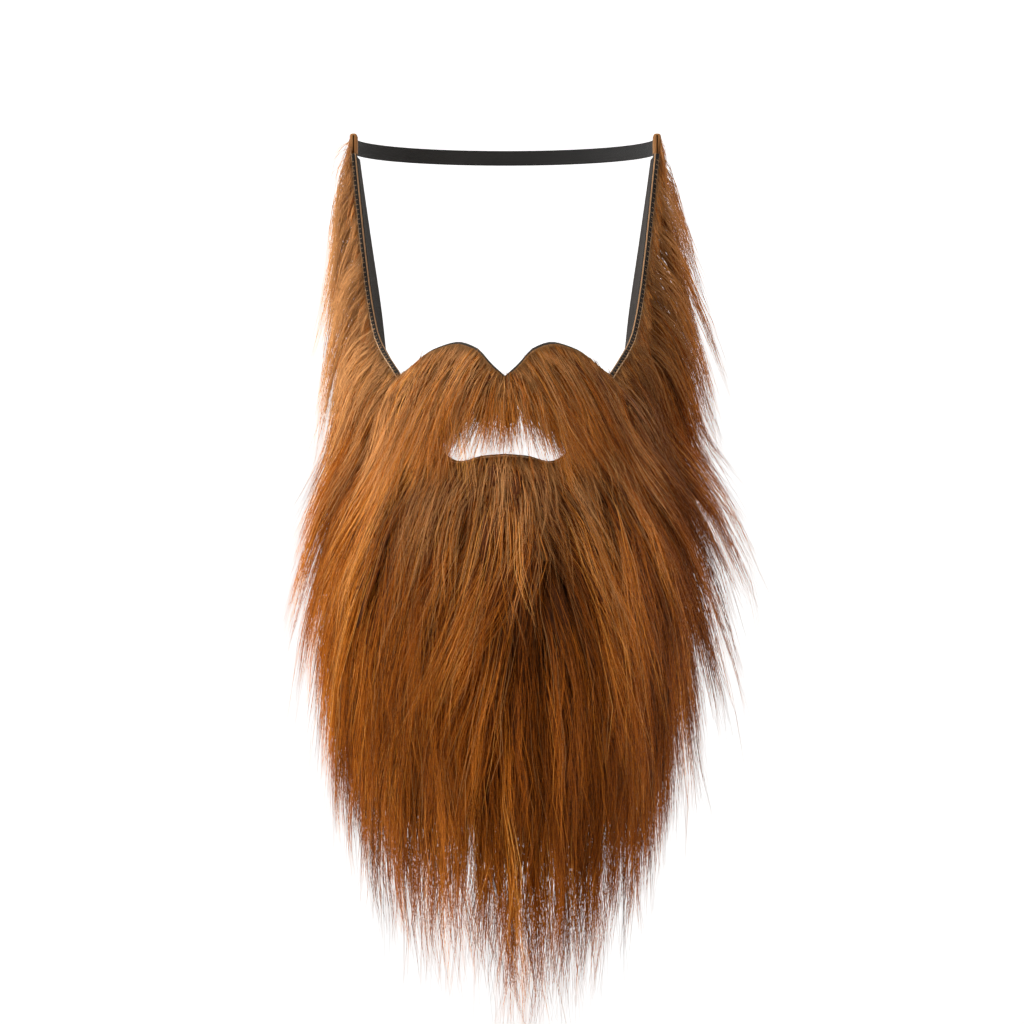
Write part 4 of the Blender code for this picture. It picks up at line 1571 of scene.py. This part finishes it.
def lock_cores(
    name: str, guides: Guides, share: float, sink: float, material: bpy.types.Material
) -> bpy.types.Object:
    """The dense inside of each lock: a flattened, tapered body along its guide, a little under its strands,
    whose dark finish paints the shade between them.

    Args:
        name: the piece's name.
        guides: the guides of its locks.
        share: how much of each guide it follows.
        sink: how far it lies under the guide.
        material: the finish.

    Returns:
        The piece.
    """
    rings, sides = 4, 6
    at = np.linspace(0, share * (guides.points.shape[1] - 1), rings)
    first = np.minimum(at.astype(int), guides.points.shape[1] - 2)
    part = (at - first)[None, :, None]
    picked, across, outward = (
        values[:, first] * (1 - part) + values[:, first + 1] * part
        for values in (guides.points, guides.across, guides.outward)
    )
    locks = len(picked)
    t = np.linspace(0, 1, rings)[None, :, None]
    girth = np.clip(1.0 - 0.90 * t**1.8, 0.05, 1.0) * np.clip(0.45 + 3.0 * t, 0, 1)
    half = 0.9 * guides.width[:, None, None] * girth
    turn = np.arange(sides) * 2 * math.pi / sides
    sideways = half * np.cos(turn)
    out = half * 0.30 * np.sin(turn) - sink * np.clip(3 * t, 0, 1)
    points = (
        picked[:, :, None, :]
        + across[:, :, None, :] * sideways[..., None]
        + outward[:, :, None, :] * out[..., None]
    )
    index = np.arange(locks * rings * sides).reshape(locks, rings, sides)
    after = np.roll(index, -1, axis=2)
    walls = np.stack([index[:, :-1], after[:, :-1], after[:, 1:], index[:, 1:]], axis=-1).reshape(-1, 4)
    caps = [row[::-1].tolist() for row in index[:, 0]] + [row.tolist() for row in index[:, -1]]
    piece = mesh_piece(name, points, walls.tolist() + caps, material)
    lane = (np.arange(locks) % 37)[:, None, None] / 37 + (turn / (2 * math.pi))[None, None, :] * 0.025
    run = t * 0.96 + 0.02 + 0 * lane
    corner_map(piece, "OFBake", np.stack([lane + 0 * run, run], axis=-1).reshape(-1, 2))
    turn_outwards(piece)
    LOG.info("%s: %d locks, %d triangles", name, locks, triangles(piece))
    return piece


# Cloth, hem, tabs and strap


@dataclass
class Cloths:
    """The cloth of both panels: their linings and the ground that the pile grows from."""

    columns: int = 96
    rows: int = 16
    lip_columns: int = 48
    lip_rows: int = 6

    def pair(
        self,
        names: tuple[str, str],
        beard: tuple[float, float],
        lip: tuple[float, float],
        margin: float,
        material: bpy.types.Material,
    ) -> tuple[bpy.types.Object, bpy.types.Object]:
        """A sheet of the beard and one of the moustache, each between two offsets from its form."""
        panel = [BEARD_CUT.grid(at, self.columns, self.rows, margin) for at in beard]
        strip = [MOUSTACHE_CUT.grid(at, self.lip_columns, self.lip_rows, margin) for at in lip]
        return sheet_piece(names[0], *panel, material), sheet_piece(names[1], *strip, material)

    def ground(self, material: bpy.types.Material) -> tuple[bpy.types.Object, bpy.types.Object]:
        """The pile's ground cloth, of the beard and of the moustache."""
        under = MOUSTACHE_LINING_THICKNESS + CLEARANCE
        beard, lip = (GROUND_INNER, GROUND_OUTER), (under, under + GROUND_THICKNESS)
        return self.pair(("pile_ground", "moustache_ground"), beard, lip, 0.0, material)

    def linings(self, material: bpy.types.Material) -> tuple[bpy.types.Object, bpy.types.Object]:
        """The linings, of the beard and of the moustache, each a little past its panel's edge."""
        beard, lip = (0.0, LINING_THICKNESS), (0.0, MOUSTACHE_LINING_THICKNESS)
        return self.pair(("lining_cloth", "moustache_lining_cloth"), beard, lip, LINING_MARGIN, material)


@dataclass
class Hem:
    """The turned edge along the panel's inner side, with its row of stitches."""

    cheek_width: float = 0.0030
    lip_width: float = 0.0012
    steps: int = 300
    sides: int = 10
    lap: float = 0.0009
    stitch_pitch: float = 0.0026
    thread_radius: float = 0.00016

    def line(self, along: Array) -> tuple[Array, Array, Array, Array]:
        """The hem's angle and height at its outer side, its width, and the way inwards over the form."""
        inner_angle, inner_height, outer_angle, outer_height = BEARD_CUT.edges(along)
        width = self.lip_width + (self.cheek_width - self.lip_width) * np.abs(along)
        toward = np.stack(
            [(inner_angle - outer_angle) / WORN.degrees(1.0, inner_height), inner_height - outer_height],
            axis=-1,
        )
        toward /= np.linalg.norm(toward, axis=-1, keepdims=True)
        return inner_angle, inner_height, width, toward

    def place(self, along: Array, reach: Array, offset: Array) -> Array:
        """Points at a reach inwards from the panel's edge, at an offset from the form."""
        angle, height, _, toward = self.line(along)
        return WORN.layer(
            angle + WORN.degrees(toward[..., 0] * reach, height), height + toward[..., 1] * reach, offset
        )

    def band(self, material: bpy.types.Material) -> bpy.types.Object:
        """The rolled band itself, a little puckered between the stitches."""
        along = np.linspace(-1, 1, self.steps + 1)
        _, _, width, _ = self.line(along)
        middle = GROUND_OUTER / 2
        turn = np.arange(self.sides) * 2 * math.pi / self.sides
        start = self.place(along, np.zeros(len(along)), np.full(len(along), middle))
        run = run_along(start)
        pucker = 1 - 0.10 * np.abs(np.sin(math.pi * run / self.stitch_pitch))
        rings = []
        edge = LINING_MARGIN + CLEARANCE
        for k in range(self.sides):
            reach = edge - self.lap + (width + self.lap) / 2 * (1 + math.cos(turn[k]) * pucker)
            offset = middle * (1 + math.sin(turn[k]) * pucker * 0.98)
            over = np.clip((edge - reach) / 0.0003, 0, 1)
            offset = offset + (np.maximum(offset, LINING_THICKNESS + CLEARANCE) - offset) * over
            rings.append(self.place(along, reach, offset))
        piece = tube_piece("hem_band", np.stack(rings, axis=1), material)
        values = np.stack(np.broadcast_arrays(run[:, None], turn[None, :] / (2 * math.pi)), axis=-1)
        corner_map(piece, "Cloth", values.reshape(-1, 2))
        turn_outwards(piece)
        return piece

    def stitches(self, material: bpy.types.Material) -> bpy.types.Object:
        """A slanted overcast stitch at every pitch, over the hem and into the ground cloth."""
        along = np.linspace(-0.998, 0.998, 2400)
        path = self.place(along, np.zeros(len(along)), np.full(len(along), GROUND_OUTER))
        run = run_along(path)
        places = np.arange(self.stitch_pitch, run[-1] - self.stitch_pitch, self.stitch_pitch)
        at = np.interp(places, run, along)
        slant = np.interp(places + self.stitch_pitch * 0.55, run, along)
        _, _, width, _ = self.line(at)
        share = np.linspace(0, 1, 6)
        spot = at[:, None] + (slant - at)[:, None] * share[None, :]
        reach = -0.0012 + (LINING_MARGIN + CLEARANCE + width + 0.0010)[:, None] * share[None, :]
        arch = GROUND_OUTER + 0.0001 + 0.0004 * np.sin(math.pi * share)[None, :]
        arch = arch - 0.0012 * share[None, :] ** 5
        points = self.place(spot.ravel(), reach.ravel(), (arch + 0 * spot).ravel())
        points = points.reshape(len(at), len(share), 3)
        return threads("hem_stitches", points, self.thread_radius, material)


class ThreadTree(Tree):
    """Sweeps each line of a mesh into a round thread."""

    def __init__(self, name: str, radius: float, material: bpy.types.Material) -> None:
        """Builds the tree with its radius and sides as inputs."""
        super().__init__(name)
        girth = self.size("Thread radius", "NodeSocketFloat", radius)
        sides = self.size("Sides", "NodeSocketInt", 6)
        curve = self.node("GeometryNodeMeshToCurve", {0: self.source.outputs["Geometry"]}).outputs[0]
        circle = {"Resolution": sides, "Radius": girth}
        ring = self.node("GeometryNodeCurvePrimitiveCircle", circle).outputs[0]
        sweep = {"Curve": curve, "Profile Curve": ring, "Fill Caps": True}
        swept = self.node("GeometryNodeCurveToMesh", sweep).outputs[0]
        self.finish(swept, material)


def threads(name: str, lines: Array, radius: float, material: bpy.types.Material) -> bpy.types.Object:
    """Makes round threads along lines of points.

    Args:
        name: the piece's name.
        lines: the lines, each a row of points.
        radius: the thread's radius.
        material: its finish.

    Returns:
        The piece.
    """
    piece = line_piece(name, lines)
    ThreadTree(name + "_tree", radius, material).apply(piece)
    LOG.info("%s: %d threads, %d triangles", name, len(lines), triangles(piece))
    return piece


@dataclass
class StrapAndTabs:
    """The elastic strap round the back, and the folded tabs that hold its ends."""

    strap_width: float = 0.0080
    strap_thickness: float = 0.0010
    wall: float = 0.0012
    length: float = 0.0130
    rounding: float = 0.0015
    mouth_ease: float = 0.0005
    fold_ease: float = 0.0010
    sag: float = 0.00022
    steps: int = 84
    ribs: int = 5
    box_front: float = 0.0022
    box_back: float = 0.0108
    box_half: float = 0.0034
    stitch: float = 0.0015
    thread_radius: float = 0.00016

    def seat(self) -> tuple[float, float, float, float, float]:
        """The left tab's middle in x, its front in y, its middle in z, its thickness and its height."""
        point = WORN.point(np.array((PANEL[0].inner_angle + PANEL[0].outer_angle) / 2), np.array(SIZES.tip))
        thickness = self.strap_thickness + 2 * CLEARANCE + 2 * self.wall
        tall = self.strap_width + 2 * CLEARANCE + 2 * self.wall
        middle = SIZES.tip + CLEARANCE + tall / 2
        return point[0] + thickness / 2, point[1] - self.length / 2, middle, thickness, tall

    def strap(self, material: bpy.types.Material) -> bpy.types.Object:
        """The ribbed elastic, straight inside each tab and then round the back."""
        x, front, z, _, _ = self.seat()
        mouth = front + self.length
        back = WORN.side_plane + SIZES.back_depth - mouth
        turn = np.linspace(0, math.pi, self.steps + 1)
        path = np.stack([x * np.cos(turn), mouth + back * np.sin(turn)], axis=-1)
        normal = np.stack([np.cos(turn) / x, np.sin(turn) / back], axis=-1)
        normal /= np.linalg.norm(normal, axis=-1, keepdims=True)
        slot = front + self.wall + CLEARANCE
        path = np.concatenate([[[x, slot]], path, [[-x, slot]]])
        normal = np.concatenate([[[1.0, 0.0]], normal, [[-1.0, 0.0]]])
        count = self.ribs * 3
        v = np.linspace(-0.5, 0.5, count + 1)
        rib = 0.5 * self.strap_thickness * (0.80 + 0.20 * np.abs(np.sin(math.pi * self.ribs * (v + 0.5))))
        rib[[0, -1]] *= 0.7
        outline = np.concatenate([np.stack([rib, v], -1), np.stack([-rib[::-1], v[::-1]], -1)])
        points = np.empty((len(path), len(outline), 3))
        points[..., :2] = path[:, None, :] + normal[:, None, :] * outline[None, :, :1]
        points[..., 2] = z + outline[None, :, 1] * self.strap_width
        piece = tube_piece("strap_elastic", points, material)
        run = run_along(path)
        around = run_along(outline * [1, self.strap_width])
        values = np.stack(np.broadcast_arrays(run[:, None], around[None, :]), axis=-1)
        corner_map(piece, "Cloth", values.reshape(-1, 2))
        turn_outwards(piece)
        LOG.info("strap: %.0f mm of elastic", 1000 * run[-1])
        return piece

    def outline(self, width: float, tall: float, rounding: float, steps: int = 6) -> Array:
        """Points round a rounded rectangle, centred on the origin."""
        turn = np.linspace(0, math.pi / 2, steps + 1)
        corners = []
        for quarter, (sx, sz) in enumerate(((1, 1), (-1, 1), (-1, -1), (1, -1))):
            angle = turn + quarter * math.pi / 2
            corners.append(
                np.stack(
                    [
                        sx * (width / 2 - rounding) + rounding * np.cos(angle),
                        sz * (tall / 2 - rounding) + rounding * np.sin(angle),
                    ],
                    axis=-1,
                )
            )
        return np.concatenate(corners)

    def tab(self, side: int, name: str, material: bpy.types.Material) -> bpy.types.Object:
        """One folded tab, soft at its edges, with a slot for the strap's end."""
        x, front, z, thickness, tall = self.seat()
        slot = self.outline(self.strap_thickness + 2 * CLEARANCE, self.strap_width + 2 * CLEARANCE, 0.0003)
        loops = [(slot, front + self.wall), (slot, front + self.length - 0.0003)]
        ease = np.linspace(0, 1, 5)

        def ring(shrink: float, rounding: float, y: float) -> None:
            """Adds the outer loop, drawn in by this much all round."""
            loops.append((self.outline(thickness - 2 * shrink, tall - 2 * shrink, rounding), y))

        for share in ease:
            shrink = self.mouth_ease * (1 - math.sin(share * math.pi / 2))
            ring(shrink, self.rounding, front + self.length - self.mouth_ease * share)
        for share in np.linspace(0.1, 1.0, 12):
            sag = self.sag * math.sin(share * math.pi) ** 2
            ring(sag, self.rounding, front + self.length * (1 - share * 0.92))
        for share in ease[1:]:
            shrink = self.fold_ease * (1 - math.cos(share * math.pi / 2))
            ring(shrink, self.rounding * 0.9, front + self.length * 0.08 * (1 - share))
        points = np.stack(
            [
                np.stack([side * (x + loop[:, 0]), np.full(len(loop), y), z + loop[:, 1]], axis=-1)
                for loop, y in loops
            ]
        )
        piece = tube_piece(name, points, material)
        corner_map(piece, "Cloth", points.reshape(-1, 3)[:, 1:] - [front, z])
        turn_outwards(piece)
        return piece

    def lap(self, side: int, name: str, material: bpy.types.Material) -> bpy.types.Object:
        """The leaf of the tab that laps over the end of the pile's ground cloth, and is sewn to it."""
        angles = side * np.linspace(PANEL[0].inner_angle + 1.5, PANEL[0].outer_angle - 1.5, 9)[None, :]
        heights = np.linspace(SIZES.tip + 0.0035, SIZES.tip - 0.0065, 7)[:, None]
        if side < 0:
            angles = angles[:, ::-1]
        inner = WORN.layer(angles, heights, GROUND_OUTER + 0.0001)
        outer = WORN.layer(angles, heights, GROUND_OUTER + 0.0009)
        return sheet_piece(name, inner, outer, material)

    def tab_stitches(self, side: int, name: str, material: bpy.types.Material) -> bpy.types.Object:
        """The stitched box that closes a tab over the strap's end, on both of its faces."""
        x, front, z, thickness, _ = self.seat()
        ahead, behind, half = self.box_front, self.box_back, self.box_half
        box = [(ahead, -half), (behind, -half), (behind, half), (ahead, half), (ahead, -half)]
        lines = []
        for face in (-1, 1):
            for (y0, z0), (y1, z1) in zip(box, box[1:]):
                count = max(int(round(math.hypot(y1 - y0, z1 - z0) / self.stitch)), 1)
                for k in range(count):
                    share = (k + np.linspace(0.1, 0.9, 5)) / count
                    lift = 0.00012 * np.sin(np.linspace(0, math.pi, 5)) - 0.00008
                    lines.append(
                        np.stack(
                            [
                                side * (x + face * (thickness / 2 + lift - 0.00015)),
                                front + y0 + (y1 - y0) * share,
                                z + z0 + (z1 - z0) * share,
                            ],
                            axis=-1,
                        )
                    )
        return threads(name, np.stack(lines), self.thread_radius, material)


# Studio


class Lamp(NamedTuple):
    """A square soft light: its place and side in metres, its power in watts and its colour."""

    name: str
    place: tuple[float, float, float]
    size: float
    power: float
    colour: tuple[float, float, float]


LAMPS = (
    Lamp("key_light", (-1.16, -0.62, 1.06), 0.5, 40.0, (1.0, 0.97, 0.93)),
    Lamp("fill_light", (1.5, -2.0, 0.4), 1.4, 9.0, (1.0, 0.92, 0.82)),
    Lamp("rim_light", (1.9, 0.0, 1.0), 1.2, 34.0, (1.0, 0.92, 0.82)),
    Lamp("top_light", (-1.2, 0.6, 1.5), 1.2, 30.0, (1.0, 0.99, 0.97)),
)


@dataclass
class Studio:
    """A pale sweep of paper, soft lights and the camera."""

    floor: float = -0.75
    distance: float = 2.4
    aside: float = 0.0035
    level: float = -0.0135
    lens: float = 168.75
    middle: tuple[float, float, float] = (0.0, 0.05, -0.03)

    def sweep(self, material: bpy.types.Material) -> bpy.types.Object:
        """Paper that lies on the floor and curves up behind."""
        profile = [(-9.0, self.floor)]
        radius, back = 1.6, 5.0
        for k in range(25):
            turn = math.pi / 2 * k / 24
            y = back - radius + radius * math.sin(turn)
            profile.append((y, self.floor + radius * (1 - math.cos(turn))))
        profile.append((back, 5.0))
        rows = [[(x, y, z) for y, z in profile] for x in (-9.0, 9.0)]
        count = len(profile)
        faces = [(k, k + 1, count + k + 1, count + k) for k in range(count - 1)]
        return mesh_piece("paper_sweep", np.array(rows), np.array(faces)[:, ::-1], material)

    def light(self, lamp: Lamp) -> None:
        """Hangs a lamp so that it faces the beard."""
        data = bpy.data.lights.new(lamp.name, "AREA")
        data.size = lamp.size
        data.energy = lamp.power
        data.color = lamp.colour
        holder = placed(lamp.name, data)
        spot = np.array(lamp.place, float)
        ahead = np.array(self.middle) - spot
        ahead = ahead / np.linalg.norm(ahead)
        holder.location = spot
        yaw = math.atan2(ahead[0], -ahead[1])
        holder.rotation_euler = (math.acos(-ahead[2]), 0.0, math.pi + yaw)

    def sky(self) -> None:
        """A white world, bright near the horizon and dim above and below it."""
        world = bpy.data.worlds.new("studio_sky")
        world.use_nodes = True
        sky = world.node_tree
        where = sky.nodes.new("ShaderNodeTexCoord")
        split = sky.nodes.new("ShaderNodeSeparateXYZ")
        height = sky.nodes.new("ShaderNodeMath")
        height.operation = "ABSOLUTE"
        fade = sky.nodes.new("ShaderNodeMapRange")
        for key, value in (("From Min", 0.12), ("From Max", 0.22), ("To Min", 0.90), ("To Max", 0.03)):
            fade.inputs[key].default_value = value
        sky.links.new(where.outputs["Generated"], split.inputs[0])
        sky.links.new(split.outputs["Z"], height.inputs[0])
        sky.links.new(height.outputs[0], fade.inputs["Value"])
        sky.links.new(fade.outputs["Result"], sky.nodes["Background"].inputs["Strength"])
        sky.nodes["Background"].inputs["Color"].default_value = (1.0, 1.0, 1.0, 1.0)
        bpy.context.scene.world = world

    def build(self) -> None:
        """Sets up paper, lights, sky and camera."""
        self.sweep(StageFinish().build("studio_paper"))
        for lamp in LAMPS:
            self.light(lamp)
        self.sky()
        lens = bpy.data.cameras.new("front_camera")
        lens.lens = self.lens
        lens.sensor_width = 36.0
        lens.clip_end = 50.0
        camera = placed("front_camera", lens)
        camera.location = (self.aside, -self.distance, self.level)
        camera.rotation_euler = (math.pi / 2, 0.0, 0.0)
        bpy.context.scene.camera = camera
        bpy.context.scene.view_settings.view_transform = "Standard"


# Assembly


def attach(pieces: Sequence[bpy.types.Object], node: str | None = None) -> None:
    """Lets pieces ride on the one body, and in place of a node if one is named."""
    for piece in pieces:
        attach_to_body(piece, "root")
        if node:
            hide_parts(node)


def dress_cloths(backing: bpy.types.Material, lining: bpy.types.Material) -> None:
    """Makes the ground cloths and the linings."""
    cloths = Cloths()
    beard_ground, lip_ground = cloths.ground(backing)
    beard_lining, lip_lining = cloths.linings(lining)
    attach((beard_ground, lip_ground))
    attach((beard_lining,), "beard_lining")
    attach((lip_lining,), "moustache_lining")


@dataclass
class BeardCoat:
    """The beard's pile, in pieces by where its locks are rooted. Angles in degrees, heights in metres."""

    chin_angle: float = 44.0
    patch_angle: float = 26.0
    cheek_root: float = 0.030
    patch_root: float = -0.022
    lower_root: float = -0.055
    core_share: float = 0.44
    core_sink: float = 0.0020

    def regions(self, angle: Array, root: Array) -> dict[str, tuple[Array, Bundle]]:
        """Which locks each piece takes, and how they are filled, by the piece's name."""
        chin, patch = np.abs(angle) <= self.chin_angle, np.abs(angle) <= self.patch_angle
        right, left = angle < -self.chin_angle, angle > self.chin_angle
        cheek, low = root > self.cheek_root, root <= self.lower_root
        under_lip = patch & (root > self.patch_root)
        return {
            "cheek_hair_right": (right & cheek, Bundle.CHEEK),
            "jaw_hair_right": (right & ~cheek, Bundle.COAT),
            "cheek_hair_left": (left & cheek, Bundle.CHEEK),
            "jaw_hair_left": (left & ~cheek, Bundle.COAT),
            "soul_patch_hair": (under_lip, Bundle.PATCH),
            "chin_hair_upper": (chin & ~low & ~under_lip, Bundle.COAT),
            "chin_hair_lower": (chin & low, Bundle.COAT),
        }

    def build(self, fibre: bpy.types.Material, shaded_core: bpy.types.Material) -> None:
        """Grows all of the beard's pile."""
        beard = BeardGroom().comb()
        angle = np.degrees(np.arctan2(beard.points[:, 0, 0], WORN.side_plane - beard.points[:, 0, 1]))
        root = beard.points[:, 0, 2]
        coats = []
        for number, (name, (mask, kind)) in enumerate(self.regions(angle, root).items()):
            coats.append(grown(name, beard.pick(mask), kind, 100 + number, fibre))
        coats.append(grown("hanging_strings", StringGroom().comb(), Bundle.STRING, 130, fibre))
        number = np.arange(len(angle))
        stray = beard.pick((number % 4 == 0) | ((number % 2 == 0) & (angle > 50.0) & (root > 0)))
        stray.width = stray.width * 1.4
        coats.append(grown("stray_hair", stray, Bundle.STRAY, 140, fibre))
        # Dark cores under the locks paint the shade between the strands.
        cored = (beard.fill > 0.5) & ((np.abs(angle) < self.chin_angle) | (root < self.cheek_root))
        coats.append(lock_cores("lock_cores", beard.pick(cored), self.core_share, self.core_sink, shaded_core))
        fringe = FringeGroom()
        coats.append(grown("edge_hair", fringe.comb(), Bundle.FUZZ, 150, fibre))
        coats.append(grown("tab_hair", fringe.comb_tabs(), Bundle.FUZZ, 155, fibre))
        coats.append(grown("patch_hair", fringe.comb_patch(), Bundle.FUZZ, 158, fibre))
        attach(coats, "beard_fur")


def dress_moustache(fibre: bpy.types.Material, shaded_core: bpy.types.Material) -> None:
    """Grows the moustache's pile."""
    groom = MoustacheGroom()
    guides = groom.comb()
    coats = (
        grown("moustache_hair", guides, Bundle.MOUSTACHE, 160, fibre),
        grown("moustache_wisps", groom.comb_wisps(), Bundle.WISP, 165, fibre),
        grown("moustache_corner_hair", groom.comb_corners(), Bundle.MOUSTACHE, 168, fibre),
        grown("moustache_edge_hair", FringeGroom().comb_lip(), Bundle.FUZZ, 170, fibre),
        # Dark cores under the moustache's locks paint the shade between its strands.
        lock_cores("moustache_cores", guides, 0.34, 0.0010, shaded_core),
    )
    attach(coats, "moustache_fur")


def dress_edges(hem_cloth: bpy.types.Material, thread: bpy.types.Material) -> None:
    """Makes the hem and its stitches."""
    hem = Hem()
    attach((hem.band(hem_cloth),), "face_edge_hem")
    attach((hem.stitches(thread),))


def dress_strap(elastic: bpy.types.Material, cloth: bpy.types.Material, thread: bpy.types.Material) -> None:
    """Makes the elastic strap and its two sewn tabs."""
    strap = StrapAndTabs()
    attach((strap.strap(elastic),), "elastic_strap")
    for side, word in ((1, "left"), (-1, "right")):
        tab = strap.tab(side, f"tab_{word}", cloth)
        lap = strap.lap(side, f"tab_lap_{word}", cloth)
        box = strap.tab_stitches(side, f"tab_stitches_{word}", thread)
        attach((tab,), f"strap_tab_{word}")
        attach((lap, box))


def main() -> None:
    """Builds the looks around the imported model."""
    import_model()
    Studio().build()

    fibre = FibreFinish().build("ginger_fibre")
    shaded_core = ShadeCoreFinish().build("ginger_core")
    backing = KnitFinish((0.16, 0.062, 0.016), (0.46, 0.23, 0.085), 0.0005).build("pile_backing")
    lining = KnitFinish((0.010, 0.009, 0.008), (0.085, 0.072, 0.064), 0.0011, 0.0003).build("lining_knit")
    tab_cloth = KnitFinish((0.16, 0.065, 0.018), (0.42, 0.20, 0.075), 0.0008, 0.0002).build("tab_knit")
    hem_cloth = HemFinish().build("hem_tape")
    elastic = ElasticFinish().build("braided_elastic")
    thread = ThreadFinish((0.15, 0.075, 0.030), (0.34, 0.19, 0.09)).build("hem_thread")

    dress_cloths(backing, lining)
    BeardCoat().build(fibre, shaded_core)
    dress_moustache(fibre, shaded_core)
    dress_edges(hem_cloth, thread)
    dress_strap(elastic, tab_cloth, thread)


if __name__ == "__main__":
    main()
